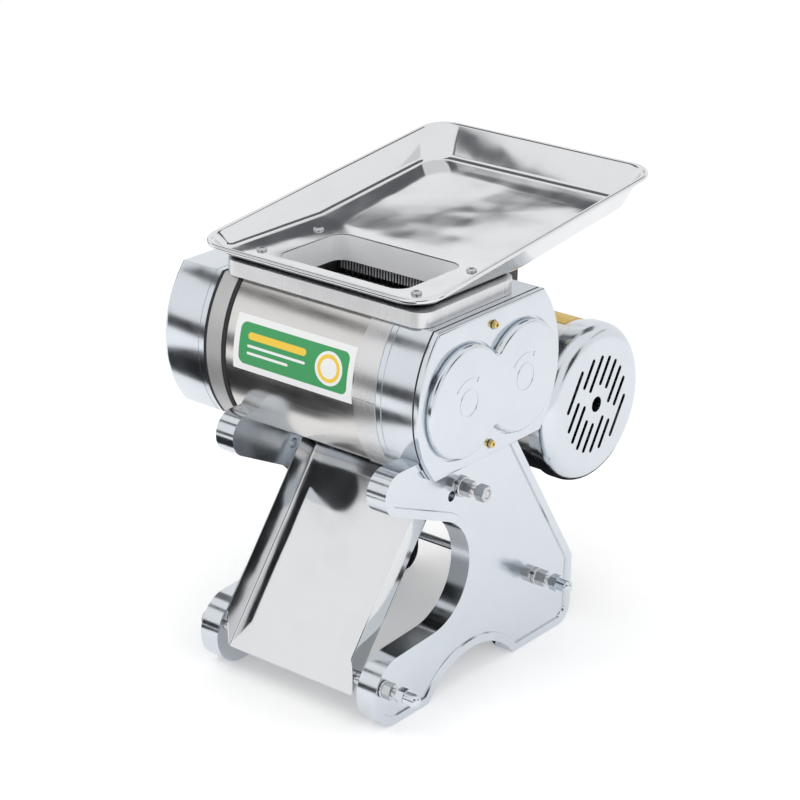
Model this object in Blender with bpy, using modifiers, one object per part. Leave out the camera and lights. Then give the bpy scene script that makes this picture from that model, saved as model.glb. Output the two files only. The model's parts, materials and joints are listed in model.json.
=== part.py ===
"""Electric twin-shaft meat cutter on two cast stands, with its feed tray, chute, gear train and motor.

The bench frame has X along the knife shafts, Y from the chute to the motor and Z up from the ground.
Its X = 0 is the outer face of the right stand. An empty moves it so that the origin of the whole part
is the bottom centre of its box.
"""

import math

import bmesh
import bpy
from mathutils import Matrix, Vector

SEAT = 0.0003            # gap between pieces that touch
OVERRUN = 0.004          # how far a cutter passes the wall it cuts
WELD = 0.000001

# Body: a circle with a flat top and a flat bottom, the same section all along the shafts
BODY_RADIUS = 0.1047
BODY_DROP_SHARE = 0.661891117
BODY_RISE_SHARE = 0.669531996
BODY_Y = 0.1278
BODY_BOTTOM = 0.2264
BODY_Z = BODY_BOTTOM + BODY_RADIUS * BODY_DROP_SHARE
BODY_TOP = BODY_Z + BODY_RADIUS * BODY_RISE_SHARE

# Lengths of the body's sections, from right to left
GEAR_HOUSING_LENGTH = 0.0408
RIGHT_PLATE_THICK = 0.0250
CHAMBER_OVERHANG = 0.0126
LEFT_PLATE_THICK = 0.0180
GEARBOX_GASKET_THICK = 0.0030
GEARBOX_LENGTH = 0.0515
GEARBOX_WALL = 0.0045
END_CAP_RADIUS = 0.0270
END_CAP_LENGTH = 0.0065
GEAR_GASKET_THICK = 0.0012
GEAR_COVER_THICK = 0.0060
GEAR_COVER_EDGE = 0.0022
GEAR_BOSS_HEIGHT = 0.0070
GEAR_BOSS_EDGE = 0.0035
GEAR_BOSS_WALL = 0.0050
GEAR_BOSS_WAIST_ROUND = 0.0100
GEAR_COVER_SCREW_MARGIN = 0.0130
GEAR_COVER_SCREW_HEAD = 0.0046
GEAR_COVER_SCREW_HEAD_LENGTH = 0.0040
GEAR_COVER_SCREW_SHANK = 0.0025
GEAR_COVER_SCREW_LENGTH = 0.0160

# Sheet covers round the knife chamber
COVER_SHEET = 0.0012
COVER_INSET = 0.0015
COVER_FLANGE = 0.0120
COVER_SPOUT_GAP = 0.0019
BASE_PLATE_THICK = 0.0060
DISCHARGE_MARGIN_RIGHT = 0.0120
DISCHARGE_MARGIN_Y = 0.0090

# Knife shafts
SHAFT_SPREAD_SHARE = 0.802292264
SHAFT_DROP = 0.0032
SHAFT_RADIUS = 0.0100
ARBOR_RADIUS = 0.0150
BLADE_RADIUS = 0.0465
BLADE_THICK = 0.0012
BLADE_PITCH = 0.0070
BLADE_END_ROOM = 0.0060
BEARING_RADIUS = 0.0200
BEARING_WIDTH = 0.0120
TIMING_GEAR_TEETH = 28
TIMING_GEAR_WIDTH = 0.0140
TIMING_GEAR_OFFSET = 0.0060
TIMING_CAVITY_CLEARANCE = 0.0036
SHAFT_RUN = 0.0003       # radial running clearance
COMB_THICK = 0.0040
COMB_FINGER = 0.0016
COMB_SLOT_CLEARANCE = 0.0030
COMB_BAR = 0.0110
COMB_OFFSET = 0.0022

# Reduction gearbox behind the left plate
SLOW_TEETH = 48
DRIVE_PINION_TEETH = 16
INPUT_PINION_TEETH = 20
DRIVE_GEAR_GAP = 0.00213
GEAR_TRAIN_SLACK = 0.0029402
PRESSURE_ANGLE = math.radians(20)
BACKLASH_SHARE = 0.14
ADDENDUM_SHARE = 0.92
DEDENDUM_SHARE = 1.25
GEAR_WIDTH = 0.0130
GEAR_SIDE_GAP = 0.0060
LAYSHAFT_RADIUS = 0.0080
LAYSHAFT_BEARING_WIDTH = 0.0070
GEARBOX_CLEARANCE = 0.0030
GEARBOX_BOSS_WALL = 0.0040

# Motor
MOTOR_SETBACK = 0.0810
MOTOR_DROP = 0.0792
FAN_COVER_RADIUS = 0.0790
FAN_COVER_FACE_X = -0.0020
FAN_COVER_LENGTH = 0.0245
FAN_COVER_WALL = 0.0024
FAN_COVER_LAP = 0.0060
FAN_COVER_ROUND = 0.0150
MOTOR_SHELL_WALL = 0.0040
MOTOR_BELL_LENGTH = 0.0180
MOTOR_SHAFT_RADIUS = 0.0095
MOTOR_BEARING_RADIUS = 0.0200
MOTOR_BEARING_WIDTH = 0.0120
END_SHIELD_THICK = 0.0120
END_SHIELD_SETBACK = 0.0460
STATOR_END_ROOM = 0.0215
STATOR_BORE = 0.0420
ROTOR_AIR_GAP = 0.0006
WINDING_LENGTH = 0.0180
WINDING_THICK = 0.0160
FAN_RADIUS = 0.0640
FAN_WIDTH = 0.0220
FAN_HUB_RADIUS = 0.0180
FAN_DISC_THICK = 0.0025
FAN_BLADE_THICK = 0.0025
FAN_BLADE_COUNT = 6
SLOT_WIDTH = 0.0036
SLOT_PITCH = 0.0124
SLOT_TILT = math.radians(31.5)
SLOT_FIELD_RADIUS = 0.0487
SLOT_HUB_RADIUS = 0.0188
SLOT_MIDDLE_GAP = 0.0066
HUB_HOLE_RADIUS = 0.0052

# Switch box on top of the motor
SWITCH_BOX_LENGTH = 0.0680
SWITCH_BOX_WIDTH = 0.0560
SWITCH_BOX_HEIGHT = 0.0360
SWITCH_BOX_WALL = 0.0025
SWITCH_BOX_ROUND = 0.0040
SWITCH_BOX_INSET = 0.1046
SWITCH_BOX_SADDLE = 0.0060
ROCKER_LENGTH = 0.0240
ROCKER_WIDTH = 0.0140
ROCKER_CLEARANCE = 0.0012
ROCKER_RISE = 0.0050
ROCKER_DEPTH = 0.0050
ROCKER_TILT = math.radians(10)
GLAND_BORE = 0.0038
GLAND_LENGTH = 0.0140
GLAND_COLLAR_RADIUS = 0.0105
GLAND_COLLAR_LENGTH = 0.0050

# Stands: a front foot, a front lobe, a round cut-out between them and an arch below
STAND_THICK = 0.0210
STAND_SPAN = 0.2100
FOOT_RADIUS = 0.0338
FOOT_Y = 0.0108
LOBE_RADIUS = 0.0207
LOBE_GAP = 0.0008571
LOBE_RISE = 0.0004
LEFT_LOBE_SHIFT = 0.0130
CUTOUT_RADIUS = 0.0549
CUTOUT_Y = 0.0576
CUTOUT_Z = 0.1251
ARCH_RADIUS = 0.0828
ARCH_Y = 0.1215
ARCH_DROP = 0.0504
REAR_EDGE_Y = 0.2800
REAR_CORNER_RADIUS = 0.0198
REAR_EDGE_TOP = 0.0700
SHOULDER_IN = 0.0050
SHOULDER_UP = 0.0083
STAND_TOP_SETBACK = 0.0245
STAND_TOP_REAR_Y = 0.1647
RIM_WIDTH = 0.0080
PANEL_DEPTH = 0.0018
SPARE_HOLE_RADIUS = 0.0050
SPOT_FACE_RADIUS = 0.0095
SPARE_HOLE_Y = 0.0854
SPARE_HOLE_Z = 0.1980

# Bolts through the stands, with their nuts
BOLT_RADIUS = 0.0040
BOLT_CLEARANCE = 0.0003
TOP_BOLT_Y = 0.0999
TOP_BOLT_Z = 0.2034
FRONT_BOLT_Y = -0.0097
FRONT_BOLT_Z = 0.0434
REAR_ROD_Y = 0.2223
REAR_ROD_Z = 0.0680
BOLT_HEAD_RADIUS = 0.0065
BOLT_HEAD_THICK = 0.0064
WASHER_RADIUS = 0.0088
WASHER_THICK = 0.0035
NUT_RADIUS = 0.0080
NUT_THICK = 0.0090
DOME_NUT_HEX = 0.0080
DOME_NUT_LENGTH = 0.0225
DOME_RADIUS = 0.0062
LOCK_NUT_THICK = 0.0095
FLANGE_NUT_FLANGE_RADIUS = 0.0105
NUT_SPACING = 0.0065

# Chute: a folded sheet channel between the stands
CHUTE_RIGHT_GAP = 0.0105
CHUTE_LEFT_GAP = 0.0090
CHUTE_SHEET = 0.0012
CHUTE_FOOT_Y = -0.0171
CHUTE_FOOT_Z = 0.0279
CHUTE_TOP_Y = 0.1260
CHUTE_TOP_Z = 0.2160
CHUTE_FLANGE = 0.0243
CHUTE_HEAD_GAP = 0.0040

# Feed collar on top of the body
COLLAR_OVERHANG = 0.0184
COLLAR_RIGHT_X = -0.0063
COLLAR_FRONT_Y = 0.0450
COLLAR_BACK_Y = 0.1840
COLLAR_THICK = 0.0142
COLLAR_ROUND = 0.0160
THROAT_INSET = 0.0166
THROAT_RIGHT_X = -0.0580
THROAT_FRONT_Y = 0.0792
THROAT_BACK_Y = 0.1720
THROAT_ROUND = 0.0140
SPOUT_WALL = 0.0025
SPOUT_DROP = 0.0110
SPOUT_SHELF = 0.0030

# Feed tray
TRAY_OVERHANG = 0.0272
TRAY_FRONT_Y = 0.0384
TRAY_FRONT_RISE = 0.0271
TRAY_BACK_Y = 0.3992
TRAY_TILT = math.radians(6.44)
TRAY_SHEET = 0.0010
TRAY_BEND_Y = 0.1990
TRAY_SIDE_FLARE = 0.0135
TRAY_FRONT_FLARE = 0.0100
TRAY_BACK_FLARE = 0.0220
TRAY_CORNER = 0.0300
TRAY_FLOOR_CORNER = 0.0220
TRAY_FOLD = 0.0040
TRAY_LIP = 0.0042
TRAY_LIP_DROP = 0.0040
TRAY_SCREW_INSET = 0.0165
TRAY_SCREW_RIGHT_X = -0.0437
TRAY_SCREW_FRONT_Y = 0.0824
TRAY_SCREW_BACK_Y = 0.1625
TRAY_SCREW_RADIUS = 0.0022
TRAY_SCREW_HEAD_RADIUS = 0.0050
TRAY_SCREW_HEAD = 0.0022
TRAY_SCREW_LENGTH = 0.0100

# How many flats make a round piece
FLATS_LARGE = 32
FLATS_MEDIUM = 24
FLATS_SMALL = 16
FLATS_SCREW = 10
FLATS_BLADE = 14
ARC_STEPS = 8
CORNER_STEPS = 3
SLOT_END_STEPS = 2

# Planes across the shafts, from right to left. The knife chamber is a little wider than the stands
HOUSING_RIGHT_X = 0.0
HOUSING_LEFT_X = HOUSING_RIGHT_X - GEAR_HOUSING_LENGTH
RIGHT_PLATE_RIGHT_X = HOUSING_LEFT_X - SEAT
RIGHT_PLATE_LEFT_X = RIGHT_PLATE_RIGHT_X - RIGHT_PLATE_THICK
CHAMBER_LEFT_X = HOUSING_RIGHT_X - STAND_SPAN - CHAMBER_OVERHANG
BLADE_COUNT = int((RIGHT_PLATE_LEFT_X - CHAMBER_LEFT_X - BLADE_END_ROOM) / BLADE_PITCH)
LEFT_PLATE_LEFT_X = CHAMBER_LEFT_X - LEFT_PLATE_THICK
GASKET_LEFT_X = LEFT_PLATE_LEFT_X - SEAT - GEARBOX_GASKET_THICK
GEARBOX_RIGHT_X = GASKET_LEFT_X - SEAT
GEARBOX_LEFT_X = GEARBOX_RIGHT_X - GEARBOX_LENGTH
END_CAP_LEFT_X = GEARBOX_LEFT_X - END_CAP_LENGTH
GEAR_GASKET_RIGHT_X = HOUSING_RIGHT_X + SEAT + GEAR_GASKET_THICK
COVER_LEFT_X = GEAR_GASKET_RIGHT_X + SEAT
COVER_RIGHT_X = COVER_LEFT_X + GEAR_COVER_THICK
BOSS_RIGHT_X = COVER_RIGHT_X + GEAR_BOSS_HEIGHT
STAND_LEFT_OUTER_X = -STAND_SPAN
STAND_LEFT_INNER_X = STAND_THICK - STAND_SPAN
STAND_RIGHT_INNER_X = -STAND_THICK
NUT_FACE_X = SEAT - PANEL_DEPTH
NUT_END_X = NUT_FACE_X + WASHER_THICK + NUT_THICK
OUTER_NUT_X = NUT_END_X + NUT_SPACING
CHUTE_RIGHT_X = STAND_RIGHT_INNER_X - CHUTE_RIGHT_GAP
CHUTE_WIDTH = CHUTE_RIGHT_X - STAND_LEFT_INNER_X - CHUTE_LEFT_GAP
COLLAR_LEFT_X = CHAMBER_LEFT_X - COLLAR_OVERHANG
THROAT_LEFT_X = CHAMBER_LEFT_X + THROAT_INSET
TRAY_LENGTH = TRAY_OVERHANG - COLLAR_LEFT_X
TRAY_SCREW_LEFT_X = COLLAR_LEFT_X + TRAY_SCREW_INSET
SWITCH_BOX_RIGHT_X = CHAMBER_LEFT_X + SWITCH_BOX_INSET

MOTOR_SHELL_RADIUS = FAN_COVER_RADIUS - FAN_COVER_WALL - SEAT

# Places that follow the body: lobes in front, motor behind, tray and screws above
GEAR_COVER_SCREW_SPREAD = BODY_TOP - BODY_Z - GEAR_COVER_SCREW_MARGIN
LOBE_Z = BODY_BOTTOM + LOBE_RISE
LEFT_LOBE_Y = BODY_Y - math.sqrt((BODY_RADIUS + LOBE_RADIUS + LOBE_GAP) ** 2 - (BODY_Z - LOBE_Z) ** 2)
LOBE_Y = LEFT_LOBE_Y - LEFT_LOBE_SHIFT
STAND_TOP_FRONT_Y = LEFT_LOBE_Y + STAND_TOP_SETBACK
MOTOR_Y = BODY_Y + BODY_RADIUS + MOTOR_SETBACK
MOTOR_Z = BODY_Z - MOTOR_DROP
TRAY_FRONT_Z = BODY_TOP + TRAY_FRONT_RISE

# Shaft axes, and gears that fill the room round them
SHAFT_SPACING = BODY_RADIUS * SHAFT_SPREAD_SHARE
SHAFT_Z = BODY_Z - SHAFT_DROP
FRONT_SHAFT_Y = BODY_Y - SHAFT_SPACING / 2
REAR_SHAFT_Y = BODY_Y + SHAFT_SPACING / 2
TIMING_MODULE = SHAFT_SPACING / TIMING_GEAR_TEETH
DRIVE_GEAR_ROOM = BODY_RADIUS - GEARBOX_WALL - SHAFT_SPACING / 2 - DRIVE_GEAR_GAP
DRIVE_MODULE = DRIVE_GEAR_ROOM / (SLOW_TEETH / 2 + ADDENDUM_SHARE)
DRIVE_CENTRES = DRIVE_MODULE * (SLOW_TEETH + DRIVE_PINION_TEETH) / 2
GEAR_TRAIN_SPAN = math.hypot(MOTOR_Y - REAR_SHAFT_Y, MOTOR_Z - SHAFT_Z)
INPUT_CENTRES = GEAR_TRAIN_SPAN - DRIVE_CENTRES + GEAR_TRAIN_SLACK
INPUT_MODULE = 2 * INPUT_CENTRES / (SLOW_TEETH + INPUT_PINION_TEETH)
TIMING_CAVITY = TIMING_MODULE * (TIMING_GEAR_TEETH / 2 + ADDENDUM_SHARE) + TIMING_CAVITY_CLEARANCE

# Chute directions in the YZ plane
CHUTE_SLOPE = math.atan2(CHUTE_TOP_Z - CHUTE_FOOT_Z, CHUTE_TOP_Y - CHUTE_FOOT_Y)

# Centre of the part's box
ORIGIN_X = (END_CAP_LEFT_X + OUTER_NUT_X + DOME_NUT_LENGTH) / 2
ORIGIN_Y = (FOOT_Y - FOOT_RADIUS + TRAY_BACK_Y + SEAT) / 2

COLOURS = {
    "cast_chrome": ((0.80, 0.81, 0.83), 0.12, 1.0),
    "brushed_aluminium": ((0.68, 0.68, 0.69), 0.38, 1.0),
    "mirror_steel": ((0.78, 0.77, 0.75), 0.07, 1.0),
    "steel": ((0.55, 0.56, 0.58), 0.30, 1.0),
    "blade_steel": ((0.74, 0.75, 0.77), 0.16, 1.0),
    "brass": ((0.72, 0.58, 0.28), 0.28, 1.0),
    "black_rubber": ((0.02, 0.02, 0.02), 0.70, 0.0),
    "black_plastic": ((0.03, 0.03, 0.035), 0.45, 0.0),
    "copper": ((0.70, 0.36, 0.20), 0.35, 1.0),
    "grey_plastic": ((0.20, 0.20, 0.21), 0.50, 0.0),
}


def remove_everything():
    for thing in list(bpy.data.objects):
        bpy.data.objects.remove(thing)


def new_collection(name):
    group = bpy.data.collections.new(name)
    bpy.context.scene.collection.children.link(group)
    return group


def make_material(name):
    colour, roughness, metallic = COLOURS[name]
    finish = bpy.data.materials.new(name)
    finish.use_nodes = True
    shader = finish.node_tree.nodes["Principled BSDF"]
    shader.inputs["Base Color"].default_value = (*colour, 1.0)
    shader.inputs["Roughness"].default_value = roughness
    shader.inputs["Metallic"].default_value = metallic
    return finish


def circle(u, v, radius, flats, start=0.0):
    return [
        (u + radius * math.cos(start + math.tau * n / flats), v + radius * math.sin(start + math.tau * n / flats))
        for n in range(flats)
    ]


def arc(u, v, radius, begin, end, steps):
    angles = [begin + (end - begin) * n / steps for n in range(steps + 1)]
    return [(u + radius * math.cos(a), v + radius * math.sin(a)) for a in angles]


def rounded_rectangle(u_low, u_high, v_low, v_high, radius, steps=CORNER_STEPS):
    quarter = math.pi / 2
    centres = [
        (u_high - radius, v_low + radius, -quarter),
        (u_high - radius, v_high - radius, 0.0),
        (u_low + radius, v_high - radius, quarter),
        (u_low + radius, v_low + radius, math.pi),
    ]
    points = []
    for u, v, begin in centres:
        points += arc(u, v, radius, begin, begin + quarter, steps)
    return points


def plate_mesh(loops, thickness):
    """A flat plate in the local XY plane, centred on z = 0. Loops after the first are holes."""
    curve = bpy.data.curves.new("outline", "CURVE")
    curve.dimensions = "2D"
    curve.fill_mode = "BOTH"
    curve.extrude = thickness / 2
    for loop in loops:
        spline = curve.splines.new("POLY")
        spline.points.add(len(loop) - 1)
        for point, (u, v) in zip(spline.points, loop):
            point.co = (u, v, 0.0, 1.0)
        spline.use_cyclic_u = True
    holder = bpy.data.objects.new("outline", curve)
    bpy.context.scene.collection.objects.link(holder)
    graph = bpy.context.evaluated_depsgraph_get()
    mesh = bpy.data.meshes.new_from_object(holder.evaluated_get(graph))
    bpy.data.objects.remove(holder)
    shape = bmesh.new()
    shape.from_mesh(mesh)
    bmesh.ops.remove_doubles(shape, verts=shape.verts, dist=WELD)
    shape.to_mesh(mesh)
    shape.free()
    return mesh


# Local x, y, z of a drawn plate turned to the bench frame, for a plate square to each axis
ACROSS_X = Matrix(((0, 0, 1), (1, 0, 0), (0, 1, 0))).to_4x4()
ACROSS_Y = Matrix(((1, 0, 0), (0, 0, -1), (0, 1, 0))).to_4x4()
ACROSS_Z = Matrix.Identity(4)


class Bench:
    """Holds the collections, the materials and the empty that the bench frame hangs on."""

    def __init__(self):
        self.parts = new_collection("meat_cutter")
        self.tools = new_collection("cutters")
        self.frame = bpy.data.objects.new("bench_frame", None)
        self.frame.location = (-ORIGIN_X, -ORIGIN_Y, 0.0)
        self.parts.objects.link(self.frame)
        self.finishes = {name: make_material(name) for name in COLOURS}

    def add(self, name, mesh, finish, origin=(0.0, 0.0, 0.0)):
        piece = bpy.data.objects.new(name, mesh)
        mesh.materials.clear()
        mesh.materials.append(self.finishes[finish])
        piece.location = origin
        piece.parent = self.frame
        self.parts.objects.link(piece)
        mesh.shade_smooth()
        mesh.set_sharp_from_angle(angle=math.radians(32))
        return piece

    def cutter(self, mesh):
        tool = bpy.data.objects.new("cutter", mesh)
        tool.parent = self.frame
        tool.hide_render = True
        tool.display_type = "WIRE"
        self.tools.objects.link(tool)
        return tool

    def combine(self, piece, tool, operation="DIFFERENCE"):
        step = piece.modifiers.new(operation.lower(), "BOOLEAN")
        step.operation = operation
        step.solver = "EXACT"
        step.object = tool


def settle(bench, name):
    """Applies a piece's modifiers, so that it can be joined with others as a plain mesh."""
    piece = bpy.data.objects[name]
    graph = bpy.context.evaluated_depsgraph_get()
    mesh = bpy.data.meshes.new_from_object(piece.evaluated_get(graph))
    piece.modifiers.clear()
    piece.data = mesh
    return mesh


def plate_x(loops, x_low, x_high):
    """A plate square to X from outlines in Y and Z."""
    mesh = plate_mesh(loops, x_high - x_low)
    mesh.transform(Matrix.Translation(((x_low + x_high) / 2, 0.0, 0.0)) @ ACROSS_X)
    return mesh


def plate_y(loops, y_low, y_high):
    """A plate square to Y from outlines in X and Z."""
    mesh = plate_mesh(loops, y_high - y_low)
    mesh.transform(Matrix.Translation((0.0, (y_low + y_high) / 2, 0.0)) @ ACROSS_Y)
    return mesh


def plate_z(loops, z_low, z_high):
    """A plate square to Z from outlines in X and Y."""
    mesh = plate_mesh(loops, z_high - z_low)
    mesh.transform(Matrix.Translation((0.0, 0.0, (z_low + z_high) / 2)))
    return mesh


def turned_mesh(profile, flats):
    """A solid turned about local X from (x, radius) points that run down its outer side."""
    mesh = bpy.data.meshes.new("profile")
    shape = bmesh.new()
    corners = [shape.verts.new((radius, 0.0, x)) for x, radius in profile]
    for first, second in zip(corners, corners[1:]):
        shape.edges.new((first, second))
    shape.to_mesh(mesh)
    shape.free()
    holder = bpy.data.objects.new("profile", mesh)
    bpy.context.scene.collection.objects.link(holder)
    screw = holder.modifiers.new("turn", "SCREW")
    screw.angle = math.tau
    screw.steps = flats
    screw.render_steps = flats
    screw.use_merge_vertices = True
    screw.merge_threshold = WELD * 10
    graph = bpy.context.evaluated_depsgraph_get()
    result = bpy.data.meshes.new_from_object(holder.evaluated_get(graph))
    bpy.data.objects.remove(holder)
    shape = bmesh.new()
    shape.from_mesh(result)
    bmesh.ops.remove_doubles(shape, verts=shape.verts, dist=WELD)
    shape.to_mesh(result)
    shape.free()
    result.transform(ACROSS_X)
    return result


def shaft_mesh(steps, flats):
    """A stepped shaft along X from (x_low, x_high, radius) steps given from right to left."""
    profile = [(steps[0][1], 0.0)]
    for x_low, x_high, radius in steps:
        profile += [(x_high, radius), (x_low, radius)]
    profile.append((steps[-1][0], 0.0))
    return turned_mesh(profile, flats)


def ring_mesh(x_low, x_high, inner, outer, flats):
    return plate_x([circle(0.0, 0.0, outer, flats), circle(0.0, 0.0, inner, flats)], x_low, x_high)


def joined(meshes):
    """Several closed meshes in one mesh, as separate solids."""
    shape = bmesh.new()
    for mesh in meshes:
        shape.from_mesh(mesh)
    result = bpy.data.meshes.new("group")
    shape.to_mesh(result)
    shape.free()
    return result


def moved(mesh, x=0.0, y=0.0, z=0.0):
    mesh.transform(Matrix.Translation((x, y, z)))
    return mesh


def body_outline(inset=0.0, steps=ARC_STEPS):
    radius = BODY_RADIUS - inset
    low = math.asin((BODY_BOTTOM + inset - BODY_Z) / radius)
    high = math.asin((BODY_TOP - inset - BODY_Z) / radius)
    rear = arc(BODY_Y, BODY_Z, radius, low, high, steps)
    front = arc(BODY_Y, BODY_Z, radius, math.pi - high, math.pi - low, steps)
    return rear + front


def figure_eight(radius, waist):
    """Two circles on the shaft axes, joined by a round waist."""
    half = SHAFT_SPACING / 2
    waist_height = math.sqrt((radius + waist) ** 2 - half ** 2)
    lean = math.atan2(waist_height, half)
    rear = arc(REAR_SHAFT_Y, SHAFT_Z, radius, lean - math.pi, math.pi - lean, 2 * ARC_STEPS)
    top = arc(BODY_Y, SHAFT_Z + waist_height, waist, -lean, lean - math.pi, CORNER_STEPS)
    front = arc(FRONT_SHAFT_Y, SHAFT_Z, radius, lean, math.tau - lean, 2 * ARC_STEPS)
    bottom = arc(BODY_Y, SHAFT_Z - waist_height, waist, math.pi - lean, lean, CORNER_STEPS)
    return rear + top[1:-1] + front + bottom[1:-1]


def layshaft_place():
    """The layshaft sits where both gear pairs have their right centre distance, on the lower side."""
    along = Vector((REAR_SHAFT_Y - MOTOR_Y, SHAFT_Z - MOTOR_Z))
    span = along.length
    share = (INPUT_CENTRES ** 2 - DRIVE_CENTRES ** 2 + span ** 2) / (2 * span)
    rise = math.sqrt(max(INPUT_CENTRES ** 2 - share ** 2, 0.0))
    along.normalize()
    side = Vector((along.y, -along.x))
    if side.y > 0:
        side.negate()
    spot = Vector((MOTOR_Y, MOTOR_Z)) + along * share + side * rise
    return spot.x, spot.y


def gear_outline(teeth, module, phase):
    """Straight chords of the involute flanks, with backlash, and one tooth centred on the phase angle."""
    pitch = teeth * module / 2
    base = pitch * math.cos(PRESSURE_ANGLE)
    tip = pitch + ADDENDUM_SHARE * module
    root = pitch - DEDENDUM_SHARE * module

    def involute(radius):
        angle = math.acos(min(1.0, base / radius))
        return math.tan(angle) - angle

    half = math.pi / (2 * teeth) * (1 - BACKLASH_SHARE) + involute(pitch)
    half_tip = half - involute(tip)
    half_root = half - involute(max(base, root))
    points = []
    for n in range(teeth):
        centre = phase + math.tau * n / teeth
        for radius, turn in ((root, -half_root), (tip, -half_tip), (tip, half_tip), (root, half_root)):
            points.append((radius * math.cos(centre + turn), radius * math.sin(centre + turn)))
    return points


def gear_mesh(teeth, module, phase, bore, x_low, x_high):
    loops = [gear_outline(teeth, module, phase), circle(0.0, 0.0, bore, FLATS_SMALL)]
    return plate_x(loops, x_low, x_high)


def cross_tangent(centre_a, radius_a, centre_b, radius_b):
    """Angle of the normal of the line that passes below circle A and above circle B."""
    gap = Vector(centre_a) - Vector(centre_b)
    lean = math.acos((radius_a + radius_b) / gap.length)
    return math.atan2(gap.y, gap.x) - lean


def stand_outline(lobe_y):
    """Front foot, cut-out, lobe, flat top, sloping back, rear foot and arch, clockwise from the foot."""
    top = BODY_BOTTOM - SEAT
    under = cross_tangent((lobe_y, LOBE_Z), LOBE_RADIUS, (CUTOUT_Y, CUTOUT_Z), CUTOUT_RADIUS)
    over = cross_tangent((CUTOUT_Y, CUTOUT_Z), CUTOUT_RADIUS, (FOOT_Y, FOOT_RADIUS), FOOT_RADIUS)
    over += 2 * math.acos((CUTOUT_RADIUS + FOOT_RADIUS)
                          / math.hypot(CUTOUT_Y - FOOT_Y, CUTOUT_Z - FOOT_RADIUS))
    reach = math.hypot(STAND_TOP_FRONT_Y - lobe_y, top - LOBE_Z)
    leave = math.atan2(top - LOBE_Z, STAND_TOP_FRONT_Y - lobe_y) + math.acos(LOBE_RADIUS / reach)
    arch_half = math.sqrt(ARCH_RADIUS ** 2 - ARCH_DROP ** 2)
    arch_lean = math.acos(arch_half / ARCH_RADIUS)
    foot = arc(FOOT_Y, FOOT_RADIUS, FOOT_RADIUS, -math.pi / 2, over - math.tau, ARC_STEPS)
    cutout = arc(CUTOUT_Y, CUTOUT_Z, CUTOUT_RADIUS, over - math.pi, under, ARC_STEPS)
    lobe = arc(lobe_y, LOBE_Z, LOBE_RADIUS, under - math.pi, leave - math.tau, ARC_STEPS)
    back = [
        (STAND_TOP_FRONT_Y, top),
        (STAND_TOP_REAR_Y, top),
        (REAR_EDGE_Y - SHOULDER_IN, REAR_EDGE_TOP + SHOULDER_UP),
        (REAR_EDGE_Y, REAR_EDGE_TOP),
    ]
    corner = arc(REAR_EDGE_Y - REAR_CORNER_RADIUS, REAR_CORNER_RADIUS, REAR_CORNER_RADIUS,
                 0.0, -math.pi / 2, CORNER_STEPS)
    arch = arc(ARCH_Y, -ARCH_DROP, ARCH_RADIUS, arch_lean, math.pi - arch_lean, ARC_STEPS)
    return foot + cutout + lobe + back + corner + arch


def stand_mesh(lobe_y, x_low, x_high, outer_is_high):
    """A cast stand whose outer face has a sunk panel inside a raised rim."""
    mesh = plate_x([stand_outline(lobe_y)], x_low, x_high)
    shape = bmesh.new()
    shape.from_mesh(mesh)
    bmesh.ops.dissolve_limit(shape, angle_limit=math.radians(0.5), verts=shape.verts, edges=shape.edges)
    sign = 1 if outer_is_high else -1
    panel = max(shape.faces, key=lambda face: face.normal.x * sign * face.calc_area())
    bmesh.ops.inset_region(shape, faces=[panel], thickness=RIM_WIDTH, use_even_offset=True)
    bmesh.ops.inset_region(shape, faces=[panel], thickness=PANEL_DEPTH, depth=-PANEL_DEPTH,
                           use_even_offset=True)
    bmesh.ops.triangulate(shape, faces=shape.faces, ngon_method="EAR_CLIP")
    shape.to_mesh(mesh)
    shape.free()
    return mesh


def make_stands(bench):
    inner = BOLT_RADIUS + BOLT_CLEARANCE
    for name, lobe_y, x_low in (("right_stand", LOBE_Y, STAND_RIGHT_INNER_X),
                                ("left_stand", LOBE_Y + LEFT_LOBE_SHIFT, STAND_LEFT_OUTER_X)):
        x_high = x_low + STAND_THICK
        stand = bench.add(name, stand_mesh(lobe_y, x_low, x_high, name == "right_stand"), "cast_chrome")
        holes = [(TOP_BOLT_Y, TOP_BOLT_Z, inner), (FRONT_BOLT_Y, FRONT_BOLT_Z, inner),
                 (REAR_ROD_Y, REAR_ROD_Z, inner), (SPARE_HOLE_Y, SPARE_HOLE_Z, SPARE_HOLE_RADIUS)]
        drills = [plate_x([circle(y, z, radius, FLATS_SCREW)], x_low - OVERRUN, x_high + OVERRUN)
                  for y, z, radius in holes]
        bench.combine(stand, bench.cutter(joined(drills)))
        seat = (x_high - PANEL_DEPTH, x_high + OVERRUN) if name == "right_stand" else (x_low - OVERRUN,
                                                                                      x_low + PANEL_DEPTH)
        spot = plate_x([circle(FRONT_BOLT_Y, FRONT_BOLT_Z, SPOT_FACE_RADIUS, FLATS_MEDIUM)], *seat)
        bench.combine(stand, bench.cutter(spot))


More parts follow.
